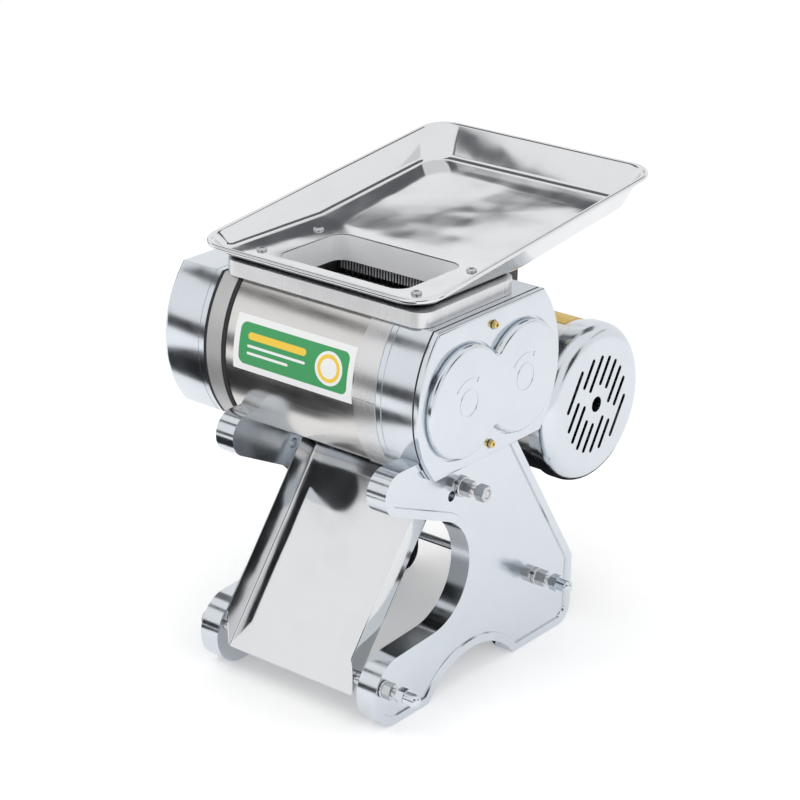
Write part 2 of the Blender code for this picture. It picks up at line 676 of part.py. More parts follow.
def make_bolts(bench):
    """Short bolts hold the chute between the stands, and one long rod ties the stands at the rear."""
    left_flange = CHUTE_RIGHT_X - CHUTE_WIDTH - CHUTE_SHEET
    right_flange = CHUTE_RIGHT_X + CHUTE_SHEET
    left_face = STAND_LEFT_OUTER_X + PANEL_DEPTH - SEAT
    head = (left_face - BOLT_HEAD_THICK, left_face)
    shoulder = STAND_RIGHT_INNER_X - SEAT
    for name, y, z, reach in (("upper", TOP_BOLT_Y, TOP_BOLT_Z, OUTER_NUT_X + LOCK_NUT_THICK),
                              ("lower", FRONT_BOLT_Y, FRONT_BOLT_Z, OUTER_NUT_X + DOME_NUT_HEX)):
        right = shaft_mesh([(shoulder, reach, BOLT_RADIUS), (right_flange + SEAT, shoulder, BOLT_HEAD_RADIUS)],
                           FLATS_SCREW)
        bench.add(f"{name}_right_chute_bolt", moved(right, 0.0, y, z), "steel")
        shank = shaft_mesh([(head[0] + SEAT, left_flange - SEAT, BOLT_RADIUS)], FLATS_SCREW)
        left = united(bench, plate_x([circle(0.0, 0.0, NUT_RADIUS, 6)], *head), shank)
        bench.add(f"{name}_left_chute_bolt", moved(left, 0.0, y, z), "steel")
    shank = shaft_mesh([(head[0] + SEAT, OUTER_NUT_X + DOME_NUT_HEX, BOLT_RADIUS)], FLATS_SCREW)
    rod = united(bench, plate_x([circle(0.0, 0.0, NUT_RADIUS, 6)], *head), shank)
    bench.add("rear_tie_rod", moved(rod, 0.0, REAR_ROD_Y, REAR_ROD_Z), "steel")


def make_nuts(bench):
    """On each right-hand bolt end a flange nut, and outside it a dome nut or a plain lock nut."""
    bore = BOLT_RADIUS + BOLT_CLEARANCE
    for name, y, z, flange in (("upper", TOP_BOLT_Y, TOP_BOLT_Z, FLANGE_NUT_FLANGE_RADIUS),
                               ("lower", FRONT_BOLT_Y, FRONT_BOLT_Z, WASHER_RADIUS),
                               ("rear", REAR_ROD_Y, REAR_ROD_Z, WASHER_RADIUS)):
        washer = ring_mesh(NUT_FACE_X, NUT_FACE_X + WASHER_THICK, bore, flange, FLATS_SCREW)
        nut = plate_x([circle(0.0, 0.0, NUT_RADIUS, 6), circle(0.0, 0.0, bore, FLATS_SCREW)],
                      NUT_FACE_X + WASHER_THICK / 2, NUT_END_X)
        bench.add(f"{name}_flange_nut", moved(united(bench, washer, nut), 0.0, y, z), "steel")
        if name == "upper":
            lock = plate_x([circle(y, z, NUT_RADIUS, 6), circle(y, z, bore, FLATS_SCREW)],
                           OUTER_NUT_X, OUTER_NUT_X + LOCK_NUT_THICK)
            bench.add("upper_lock_nut", lock, "steel")
            continue
        tip = OUTER_NUT_X + DOME_NUT_LENGTH
        neck = OUTER_NUT_X + DOME_NUT_HEX - SEAT
        profile = [(tip - DOME_RADIUS * (1 - math.cos(a)), DOME_RADIUS * math.sin(a))
                   for a in (math.radians(22.5 * n) for n in range(5))]
        profile += [(neck, DOME_RADIUS), (neck, 0.0)]
        hexagon = plate_x([circle(0.0, 0.0, NUT_RADIUS, 6)], OUTER_NUT_X, OUTER_NUT_X + DOME_NUT_HEX)
        blank = united(bench, hexagon, turned_mesh(profile, FLATS_SCREW))
        nut = bench.add(f"{name}_dome_nut", moved(blank, 0.0, y, z), "cast_chrome")
        drill = plate_x([circle(y, z, bore, FLATS_SCREW)], OUTER_NUT_X - OVERRUN,
                        OUTER_NUT_X + DOME_NUT_HEX + BOLT_CLEARANCE)
        bench.combine(nut, bench.cutter(drill))


def make_chute(bench):
    """Floor and two side flanges as an open sheet, thickened outwards."""
    left = CHUTE_RIGHT_X - CHUTE_WIDTH
    normal = Vector((-math.sin(CHUTE_SLOPE), math.cos(CHUTE_SLOPE))) * CHUTE_FLANGE
    foot = Vector((CHUTE_FOOT_Y, CHUTE_FOOT_Z))
    top = Vector((CHUTE_TOP_Y, CHUTE_TOP_Z))
    edge = foot + normal
    slope = math.tan(CHUTE_SLOPE)
    head = BODY_BOTTOM - CHUTE_HEAD_GAP
    head_corner = Vector((edge.x + (head - edge.y) / slope, head))
    foot_corner = Vector((foot.x - CHUTE_SHEET, edge.y + (foot.x - CHUTE_SHEET - edge.x) * slope))
    shape = bmesh.new()
    sides = []
    for x in (left, CHUTE_RIGHT_X):
        sides.append([shape.verts.new((x, p.x, p.y)) for p in (foot, top, head_corner, foot_corner)])
    shape.faces.new((sides[0][0], sides[0][1], sides[1][1], sides[1][0]))
    shape.faces.new(sides[0][::-1])
    shape.faces.new(sides[1])
    bmesh.ops.recalc_face_normals(shape, faces=shape.faces)
    mesh = bpy.data.meshes.new("chute")
    shape.to_mesh(mesh)
    shape.free()
    chute = bench.add("discharge_chute", mesh, "mirror_steel")
    wall = chute.modifiers.new("sheet", "SOLIDIFY")
    wall.thickness = CHUTE_SHEET
    wall.use_even_offset = True
    floor = mesh.polygons[0]
    inward = Vector((0.0, normal.x, normal.y))
    wall.offset = -1 if floor.normal.dot(inward) > 0 else 1


def gearbox_solids(bench, x_low, x_high, inset):
    """Body section joined with the lobe that holds the layshaft gear and reaches the motor's axis."""
    lay_y, lay_z = layshaft_place()
    big = INPUT_MODULE * (SLOW_TEETH / 2 + ADDENDUM_SHARE) + GEARBOX_CLEARANCE + GEARBOX_WALL - inset
    small = INPUT_MODULE * (INPUT_PINION_TEETH / 2 + ADDENDUM_SHARE) + GEARBOX_CLEARANCE + GEARBOX_WALL - inset
    along = math.atan2(MOTOR_Z - lay_z, MOTOR_Y - lay_y)
    lean = math.acos((big - small) / math.hypot(MOTOR_Z - lay_z, MOTOR_Y - lay_y))
    lobe = arc(lay_y, lay_z, big, along + lean, along - lean + math.tau, 2 * ARC_STEPS)
    lobe += arc(MOTOR_Y, MOTOR_Z, small, along - lean, along + lean, ARC_STEPS)
    return plate_x([body_outline(inset)], x_low, x_high), plate_x([lobe], x_low, x_high)


def gearbox_shape(bench, name, x_low, x_high, inset, finish):
    body, lobe = gearbox_solids(bench, x_low, x_high, inset)
    piece = bench.add(name, body, finish)
    bench.combine(piece, bench.cutter(lobe), "UNION")
    return piece


def gearbox_cavity(bench, x_low, x_high, inset):
    piece = gearbox_shape(bench, "cavity_blank", x_low, x_high, inset, "steel")
    mesh = settle(bench, piece.name)
    bpy.data.objects.remove(piece)
    return bench.cutter(mesh)


def make_gearbox(bench):
    lay_y, lay_z = layshaft_place()
    bearing = BEARING_RADIUS + SEAT
    lay_bore = LAYSHAFT_RADIUS + SHAFT_RUN
    plate = gearbox_shape(bench, "left_frame_plate", LEFT_PLATE_LEFT_X, CHAMBER_LEFT_X, 0.0,
                          "brushed_aluminium")
    through = (LEFT_PLATE_LEFT_X - OVERRUN, CHAMBER_LEFT_X + OVERRUN)
    seat_x = LEFT_PLATE_LEFT_X + BEARING_WIDTH + SEAT
    drills = [plate_x([circle(y, SHAFT_Z, bearing, FLATS_SMALL)], through[0], seat_x)
              for y in (REAR_SHAFT_Y, FRONT_SHAFT_Y)]
    drills.append(plate_x([circle(lay_y, lay_z, lay_bore, FLATS_SMALL)], *through))
    drills.append(plate_x([circle(MOTOR_Y, MOTOR_Z, MOTOR_SHAFT_RADIUS + BOLT_CLEARANCE, FLATS_SMALL)],
                          *through))
    bench.combine(plate, bench.cutter(joined(drills)))
    passages = [
        plate_x([circle(y, SHAFT_Z, SHAFT_RADIUS + BOLT_CLEARANCE, FLATS_SMALL)], *through)
        for y in (REAR_SHAFT_Y, FRONT_SHAFT_Y)
    ]
    bench.combine(plate, bench.cutter(joined(passages)))

    gasket = gearbox_shape(bench, "gearbox_gasket", GASKET_LEFT_X, LEFT_PLATE_LEFT_X - SEAT, SEAT,
                           "black_rubber")
    bench.combine(gasket, gearbox_cavity(bench, GASKET_LEFT_X - OVERRUN, LEFT_PLATE_LEFT_X + OVERRUN,
                                         GEARBOX_WALL))
    housing = gearbox_shape(bench, "gearbox_housing", GEARBOX_LEFT_X, GEARBOX_RIGHT_X, 0.0, "cast_chrome")
    bench.combine(housing, gearbox_cavity(bench, GEARBOX_LEFT_X + GEARBOX_WALL, GEARBOX_RIGHT_X + OVERRUN,
                                          GEARBOX_WALL))
    boss_x = GEARBOX_LEFT_X + GEARBOX_WALL + LAYSHAFT_BEARING_WIDTH
    boss = moved(ring_mesh(GEARBOX_LEFT_X + GEARBOX_WALL / 2, boss_x, lay_bore,
                           lay_bore + GEARBOX_BOSS_WALL, FLATS_SMALL), 0.0, lay_y, lay_z)
    bench.combine(housing, bench.cutter(boss), "UNION")
    cap_low = GEARBOX_LEFT_X - END_CAP_LENGTH
    cap = [(GEARBOX_LEFT_X + GEARBOX_WALL / 2, 0.0), (GEARBOX_LEFT_X + GEARBOX_WALL / 2, END_CAP_RADIUS),
           (cap_low + END_CAP_LENGTH / 2, END_CAP_RADIUS), (cap_low, END_CAP_RADIUS - END_CAP_LENGTH / 2),
           (cap_low, 0.0)]
    bench.combine(housing, bench.cutter(moved(turned_mesh(cap, FLATS_MEDIUM), 0.0, BODY_Y, BODY_Z)), "UNION")


def make_right_frame(bench):
    through = (RIGHT_PLATE_LEFT_X - OVERRUN, RIGHT_PLATE_RIGHT_X + OVERRUN)
    plate = bench.add("right_frame_plate", plate_x([body_outline()], RIGHT_PLATE_LEFT_X, RIGHT_PLATE_RIGHT_X),
                      "brushed_aluminium")
    seats = [plate_x([circle(y, SHAFT_Z, BEARING_RADIUS + SEAT, FLATS_SMALL)],
                     RIGHT_PLATE_RIGHT_X - BEARING_WIDTH - SEAT, through[1])
             for y in (FRONT_SHAFT_Y, REAR_SHAFT_Y)]
    passages = [plate_x([circle(y, SHAFT_Z, SHAFT_RADIUS + BOLT_CLEARANCE, FLATS_SMALL)], *through)
                for y in (FRONT_SHAFT_Y, REAR_SHAFT_Y)]
    bench.combine(plate, bench.cutter(joined(seats)))
    bench.combine(plate, bench.cutter(joined(passages)))
    loops = [body_outline(), figure_eight(TIMING_CAVITY, GEAR_BOSS_WAIST_ROUND)]
    loops += [circle(BODY_Y, z, GEAR_COVER_SCREW_SHANK + SEAT, FLATS_SCREW) for z in gear_cover_screw_heights()]
    bench.add("gear_housing", plate_x(loops, HOUSING_LEFT_X, HOUSING_RIGHT_X), "cast_chrome")


def gear_cover_screw_heights():
    return (BODY_Z - GEAR_COVER_SCREW_SPREAD, BODY_Z + GEAR_COVER_SCREW_SPREAD)


def rounded_face(mesh, width):
    """The plate with the edges of its right-hand face rounded."""
    shape = bmesh.new()
    shape.from_mesh(mesh)
    bmesh.ops.dissolve_limit(shape, angle_limit=math.radians(0.5), verts=shape.verts, edges=shape.edges)
    front = max(shape.faces, key=lambda face: face.normal.x * face.calc_area())
    bmesh.ops.bevel(shape, geom=list(front.edges), offset=width, segments=2, profile=0.5, affect="EDGES",
                    material=-1)
    bmesh.ops.triangulate(shape, faces=shape.faces)
    shape.to_mesh(mesh)
    shape.free()
    return mesh


def make_gear_cover(bench):
    cavity = figure_eight(TIMING_CAVITY, GEAR_BOSS_WAIST_ROUND)
    holes = [circle(BODY_Y, z, GEAR_COVER_SCREW_SHANK + SEAT, FLATS_SCREW) for z in gear_cover_screw_heights()]
    bench.add("gear_cover_gasket",
              plate_x([body_outline(SEAT), cavity] + holes, HOUSING_RIGHT_X + SEAT, GEAR_GASKET_RIGHT_X),
              "black_rubber")
    cover = bench.add("gear_cover", rounded_face(plate_x([body_outline()], COVER_LEFT_X, COVER_RIGHT_X),
                                                 GEAR_COVER_EDGE), "cast_chrome")
    boss_outline = figure_eight(TIMING_CAVITY + GEAR_BOSS_WALL, GEAR_BOSS_WAIST_ROUND - GEAR_BOSS_WALL)
    boss = rounded_face(plate_x([boss_outline], COVER_LEFT_X + GEAR_COVER_THICK / 2, BOSS_RIGHT_X),
                        GEAR_BOSS_EDGE)
    bench.combine(cover, bench.cutter(boss), "UNION")
    inside = plate_x([cavity], COVER_LEFT_X - OVERRUN, BOSS_RIGHT_X - GEAR_BOSS_WALL)
    bench.combine(cover, bench.cutter(inside))
    head_x = COVER_RIGHT_X + SEAT
    for name, z in zip(("lower", "upper"), gear_cover_screw_heights()):
        drill = plate_x([circle(BODY_Y, z, GEAR_COVER_SCREW_SHANK + SEAT, FLATS_SCREW)],
                        COVER_LEFT_X - OVERRUN, COVER_RIGHT_X + OVERRUN)
        bench.combine(cover, bench.cutter(drill))
        screw = shaft_mesh([(head_x, head_x + GEAR_COVER_SCREW_HEAD_LENGTH, GEAR_COVER_SCREW_HEAD),
                            (HOUSING_RIGHT_X - GEAR_COVER_SCREW_LENGTH, head_x, GEAR_COVER_SCREW_SHANK)],
                           FLATS_SCREW)
        bench.add(f"{name}_gear_cover_screw", moved(screw, 0.0, BODY_Y, z), "brass")


def make_chamber(bench):
    """Base plate and sheet covers between the frame plates."""
    x_low = CHAMBER_LEFT_X + SEAT
    x_high = RIGHT_PLATE_LEFT_X - SEAT
    corner = math.sqrt(BODY_RADIUS ** 2 - (BODY_BOTTOM - BODY_Z) ** 2)
    base_front = BODY_Y - corner + COVER_FLANGE + COVER_SHEET
    base_back = BODY_Y + corner - COVER_FLANGE - COVER_SHEET
    opening = [(STAND_LEFT_INNER_X + SEAT, base_front + DISCHARGE_MARGIN_Y),
               (x_high - DISCHARGE_MARGIN_RIGHT, base_front + DISCHARGE_MARGIN_Y),
               (x_high - DISCHARGE_MARGIN_RIGHT, base_back - DISCHARGE_MARGIN_Y),
               (STAND_LEFT_INNER_X + SEAT, base_back - DISCHARGE_MARGIN_Y)]
    frame = [(x_low, base_front), (x_high, base_front), (x_high, base_back), (x_low, base_back)]
    bench.add("base_plate", plate_z([frame, opening], BODY_BOTTOM, BODY_BOTTOM + BASE_PLATE_THICK), "steel")
    far = cover_side(COVER_INSET)
    near = cover_side(COVER_INSET + COVER_SHEET)
    bottom_y = far[0][0] + COVER_FLANGE - COVER_INSET
    front_top_y = far[-1][0] + COVER_FLANGE - COVER_INSET
    rear_top_y = 2 * BODY_Y - THROAT_BACK_Y - SPOUT_WALL - COVER_SPOUT_GAP
    for name, top_y, flip in (("front_cover", front_top_y, False), ("rear_cover", rear_top_y, True)):
        loop =([(bottom_y, BODY_BOTTOM)] + [(far[0][0], BODY_BOTTOM)] + far[1:-1]
                + [(far[-1][0], BODY_TOP), (top_y, BODY_TOP), (top_y, BODY_TOP - COVER_SHEET)]
                + [(near[-1][0], BODY_TOP - COVER_SHEET)] + near[-2:0:-1]
                + [(near[0][0], BODY_BOTTOM + COVER_SHEET), (bottom_y, BODY_BOTTOM + COVER_SHEET)])
        if flip:
            loop = [(2 * BODY_Y - y, z) for y, z in loop]
        bench.add(name, plate_x([loop], x_low, x_high), "mirror_steel")


def cover_side(inset):
    """Front arc of the body's section from its bottom corner to its top corner."""
    radius = BODY_RADIUS - inset
    low = math.asin((BODY_BOTTOM + inset - BODY_Z) / radius)
    high = math.asin((BODY_TOP - inset - BODY_Z) / radius)
    return arc(BODY_Y, BODY_Z, radius, math.pi - low, math.pi - high, ARC_STEPS)


def united(bench, first, second):
    blank = bench.add("blank", first, "steel")
    bench.combine(blank, bench.cutter(second), "UNION")
    mesh = settle(bench, blank.name)
    bpy.data.objects.remove(blank)
    return mesh


def make_knives(bench):
    """Each shaft on its own axis, with its blade set and timing gear, and its bearings in the frame plates."""
    x_low = CHAMBER_LEFT_X + SEAT
    x_high = RIGHT_PLATE_LEFT_X - SEAT
    middle = (x_low + x_high) / 2
    half = (x_high - x_low) / 2 - SEAT
    timing_low = HOUSING_LEFT_X + TIMING_GEAR_OFFSET
    timing_high = timing_low + TIMING_GEAR_WIDTH
    drive_high = GEARBOX_RIGHT_X - GEAR_SIDE_GAP / 2
    bore = SHAFT_RADIUS + SHAFT_RUN
    for side, y, phase, shift, left_end in (
            ("front", FRONT_SHAFT_Y, 0.0, -BLADE_PITCH / 4, LEFT_PLATE_LEFT_X + SEAT),
            ("rear", REAR_SHAFT_Y, math.pi + math.pi / TIMING_GEAR_TEETH, BLADE_PITCH / 4,
             drive_high - GEAR_WIDTH - GEAR_SIDE_GAP / 4)):
        origin = (middle, y, SHAFT_Z)
        shaft = shaft_mesh([(left_end, timing_high + GEAR_SIDE_GAP / 2, SHAFT_RADIUS)], FLATS_SMALL)
        bench.add(f"{side}_knife_shaft", moved(shaft, -middle), "steel", origin)
        profile = [(half, bore), (half, ARBOR_RADIUS)]
        for n in reversed(range(BLADE_COUNT)):
            x = shift + (n - (BLADE_COUNT - 1) / 2) * BLADE_PITCH
            low, high = x - BLADE_THICK / 2, x + BLADE_THICK / 2
            profile += [(high, ARBOR_RADIUS), (high, BLADE_RADIUS), (low, BLADE_RADIUS), (low, ARBOR_RADIUS)]
        profile += [(-half, ARBOR_RADIUS), (-half, bore), (half, bore)]
        bench.add(f"{side}_blade_set", turned_mesh(profile, FLATS_BLADE), "blade_steel", origin)
        gear = gear_mesh(TIMING_GEAR_TEETH, TIMING_MODULE, phase, bore, timing_low - middle,
                         timing_high - middle)
        bench.add(f"{side}_timing_gear", gear, "steel", origin)
        for end, low in (("left", LEFT_PLATE_LEFT_X), ("right", RIGHT_PLATE_RIGHT_X - BEARING_WIDTH)):
            ring = ring_mesh(low, low + BEARING_WIDTH, bore, BEARING_RADIUS, FLATS_SMALL)
            bench.add(f"{side}_{end}_bearing", moved(ring, 0.0, y, SHAFT_Z), "steel")


def make_combs(bench):
    """A slotted plate in front of the front blades and another behind the rear blades."""
    x_low = CHAMBER_LEFT_X + SEAT * 2
    x_high = RIGHT_PLATE_LEFT_X - SEAT * 2
    middle = (x_low + x_high) / 2
    clear = ARBOR_RADIUS + COMB_OFFSET
    reach = math.sqrt(BLADE_RADIUS ** 2 - clear ** 2) + COMB_SLOT_CLEARANCE
    low = BODY_BOTTOM + BASE_PLATE_THICK + SEAT
    high = SHAFT_Z + reach + COMB_BAR
    for side, y, shift, way in (("front", FRONT_SHAFT_Y, -BLADE_PITCH / 4, -1),
                                ("rear", REAR_SHAFT_Y, BLADE_PITCH / 4, 1)):
        near = y + way * clear
        far = near + way * COMB_THICK
        loops = [[(x_low, low), (x_high, low), (x_high, high), (x_low, high)]]
        half = (BLADE_PITCH - COMB_FINGER) / 2
        for n in range(BLADE_COUNT):
            x = middle + shift + (n - (BLADE_COUNT - 1) / 2) * BLADE_PITCH
            loops.append([(x - half, SHAFT_Z - reach), (x + half, SHAFT_Z - reach),
                          (x + half, SHAFT_Z + reach), (x - half, SHAFT_Z + reach)])
        bench.add(side + "_comb", plate_y(loops, min(near, far), max(near, far)), "black_plastic")


def make_gear_train(bench):
    """Motor pinion to layshaft gear, and layshaft pinion to the drive gear on the rear knife shaft."""
    lay_y, lay_z = layshaft_place()
    drive_high = GEARBOX_RIGHT_X - GEAR_SIDE_GAP / 2
    drive_low = drive_high - GEAR_WIDTH
    input_high = drive_low - GEAR_SIDE_GAP
    input_low = input_high - GEAR_WIDTH
    to_lay = math.atan2(lay_z - MOTOR_Z, lay_y - MOTOR_Y)
    to_rear = math.atan2(SHAFT_Z - lay_z, REAR_SHAFT_Y - lay_y)
    mesh_gap = math.pi / SLOW_TEETH
    middle = (CHAMBER_LEFT_X + RIGHT_PLATE_LEFT_X) / 2
    drive = gear_mesh(SLOW_TEETH, DRIVE_MODULE, to_rear + math.pi + mesh_gap, SHAFT_RADIUS + SHAFT_RUN,
                      drive_low - middle, drive_high - middle)
    bench.add("drive_gear", drive, "steel", (middle, REAR_SHAFT_Y, SHAFT_Z))

    lay_origin = (drive_low, lay_y, lay_z)
    shaft = shaft_mesh([(GEARBOX_LEFT_X + GEARBOX_WALL + SEAT, CHAMBER_LEFT_X - SEAT, LAYSHAFT_RADIUS)],
                       FLATS_SMALL)
    pinion = plate_x([gear_outline(DRIVE_PINION_TEETH, DRIVE_MODULE, to_rear)], drive_low, drive_high)
    bench.add("pinion_layshaft", moved(united(bench, pinion, shaft), -drive_low), "steel", lay_origin)
    gear = gear_mesh(SLOW_TEETH, INPUT_MODULE, to_lay + math.pi + mesh_gap, LAYSHAFT_RADIUS + SHAFT_RUN,
                     input_low - drive_low, input_high - drive_low)
    bench.add("layshaft_gear", gear, "steel", lay_origin)

    motor = (drive_low, MOTOR_Y, MOTOR_Z)
    pinion = gear_mesh(INPUT_PINION_TEETH, INPUT_MODULE, to_lay, MOTOR_SHAFT_RADIUS + SHAFT_RUN,
                       input_low - drive_low, input_high - drive_low)
    bench.add("motor_pinion", pinion, "steel", motor)
    return motor, input_low


def make_motor(bench, origin, shaft_left):
    """Shell, bells and stator stand still. Rotor, pinion and fan turn."""
    bell_left = CHAMBER_LEFT_X + SEAT
    bell_right = bell_left + MOTOR_BELL_LENGTH
    shell_left = bell_right + SEAT
    cover_left = FAN_COVER_FACE_X - FAN_COVER_LENGTH
    shell_right = cover_left + FAN_COVER_LAP
    shield_left = shell_right - END_SHIELD_SETBACK
    inside = MOTOR_SHELL_RADIUS - MOTOR_SHELL_WALL
    shaft_bore = MOTOR_SHAFT_RADIUS + SHAFT_RUN
    place = (0.0, MOTOR_Y, MOTOR_Z)

    bell = ring_mesh(bell_left, bell_right, MOTOR_BEARING_RADIUS + SEAT, MOTOR_SHELL_RADIUS, FLATS_LARGE)
    bench.add("motor_front_bell", bell, "cast_chrome", place)
    shell = ring_mesh(shell_left, shell_right, inside, MOTOR_SHELL_RADIUS, FLATS_LARGE)
    bench.add("motor_shell", shell, "mirror_steel", place)
    shield = ring_mesh(shield_left, shield_left + END_SHIELD_THICK, MOTOR_BEARING_RADIUS + SEAT,
                       inside - SEAT, FLATS_LARGE)
    bench.add("motor_end_shield", shield, "cast_chrome", place)
    for name, low in (("motor_front_bearing", bell_left + SEAT), ("motor_rear_bearing", shield_left)):
        ring = ring_mesh(low, low + MOTOR_BEARING_WIDTH, shaft_bore, MOTOR_BEARING_RADIUS, FLATS_SMALL)
        bench.add(name, ring, "steel", place)

    core_ends = WINDING_LENGTH + STATOR_END_ROOM / 2
    core = (shell_left + core_ends, shield_left - core_ends)
    coil = STATOR_BORE + WINDING_THICK
    skin = inside - SEAT
    profile = [(core[1] + WINDING_LENGTH, STATOR_BORE), (core[1] + WINDING_LENGTH, coil), (core[1], coil),
               (core[1], skin), (core[0], skin), (core[0], coil), (core[0] - WINDING_LENGTH, coil),
               (core[0] - WINDING_LENGTH, STATOR_BORE), (core[1] + WINDING_LENGTH, STATOR_BORE)]
    bench.add("motor_stator", turned_mesh(profile, FLATS_LARGE), "copper", place)

    fan_low = shield_left + END_SHIELD_THICK + FAN_DISC_THICK
    fan_high = fan_low + FAN_WIDTH
    rotor = shaft_mesh([(core[1], fan_high, MOTOR_SHAFT_RADIUS),
                        (core[0], core[1], STATOR_BORE - ROTOR_AIR_GAP),
                        (shaft_left, core[0], MOTOR_SHAFT_RADIUS)], FLATS_MEDIUM)
    bench.add("motor_rotor", moved(rotor, -origin[0]), "steel", origin)
    hub = ring_mesh(fan_low, fan_high, shaft_bore, FAN_HUB_RADIUS, FLATS_SMALL)
    disc = ring_mesh(fan_low, fan_low + FAN_DISC_THICK, FAN_HUB_RADIUS - FAN_BLADE_THICK, FAN_RADIUS,
                     FLATS_MEDIUM)
    fan = bench.add("motor_fan", moved(hub, -origin[0]), "black_plastic", origin)
    wheel = [disc]
    root = FAN_HUB_RADIUS - FAN_BLADE_THICK
    half = FAN_BLADE_THICK / 2
    for n in range(FAN_BLADE_COUNT):
        blade = plate_x([[(root, -half), (FAN_RADIUS - SEAT, -half), (FAN_RADIUS - SEAT, half), (root, half)]],
                        fan_low + FAN_DISC_THICK / 2, fan_high - SEAT)
        blade.transform(Matrix.Rotation(math.tau * (n + 0.5) / FAN_BLADE_COUNT, 4, "X"))
        wheel.append(blade)
    for piece in wheel:
        tool = bench.cutter(piece)
        tool.location = place
        bench.combine(fan, tool, "UNION")

    face = FAN_COVER_FACE_X
    quarter = [math.radians(30 * n) for n in range(4)]
    inner_round = FAN_COVER_ROUND - FAN_COVER_WALL
    outer = [(face - FAN_COVER_ROUND * (1 - math.cos(a)), FAN_COVER_RADIUS - FAN_COVER_ROUND * (1 - math.sin(a)))
             for a in quarter]
    inner = [(face - FAN_COVER_WALL - inner_round * (1 - math.cos(a)),
              FAN_COVER_RADIUS - FAN_COVER_WALL - inner_round * (1 - math.sin(a))) for a in quarter]
    profile = [(face, 0.0)] + outer + [(cover_left, FAN_COVER_RADIUS),
                                       (cover_left, FAN_COVER_RADIUS - FAN_COVER_WALL)]
    profile += inner[::-1] + [(face - FAN_COVER_WALL, 0.0)]
    cover = bench.add("fan_cover", turned_mesh(profile, FLATS_LARGE), "cast_chrome", place)
    slots = [fan_slot(y, z, half_length, face) for y, z, half_length in slot_places()]
    slots.append(plate_x([circle(0.0, 0.0, HUB_HOLE_RADIUS, FLATS_SMALL)], face - OVERRUN, face + OVERRUN))
    tool = bench.cutter(joined(slots))
    tool.location = place
    bench.combine(cover, tool)


def slot_places():
    """Middle (y, z) and half length of each fan slot, in columns that lean towards the rear."""
    lean = (math.sin(SLOT_TILT), math.cos(SLOT_TILT))
    across = (math.cos(SLOT_TILT), -math.sin(SLOT_TILT))
    places = []
    for column in (-3.5, -2.5, -1.5, -0.5, 0.5, 1.5, 2.5, 3.5):
        offset = column * SLOT_PITCH
        end = math.sqrt(SLOT_FIELD_RADIUS ** 2 - offset ** 2)
        hub = math.sqrt(max(SLOT_HUB_RADIUS ** 2 - offset ** 2, 0.0))
        start = max(SLOT_MIDDLE_GAP, hub)
        spans = [(-end, end)] if abs(column) > 3 else [(start, end), (-end, -start)]
        for low, high in spans:
            middle = (low + high) / 2
            places.append((offset * across[0] + middle * lean[0], offset * across[1] + middle * lean[1],
                           (high - low) / 2))
    return places


def fan_slot(y, z, half, face):
    """A round-ended slot through the fan cover's face."""
    radius = SLOT_WIDTH / 2
    loop = (arc(0.0, half - radius, radius, 0.0, math.pi, SLOT_END_STEPS)
            + arc(0.0, radius - half, radius, math.pi, math.tau, SLOT_END_STEPS))
    mesh = plate_x([loop], face - OVERRUN, face + OVERRUN)
    mesh.transform(Matrix.Translation((0.0, y, z)) @ Matrix.Rotation(-SLOT_TILT, 4, "X"))
    return mesh


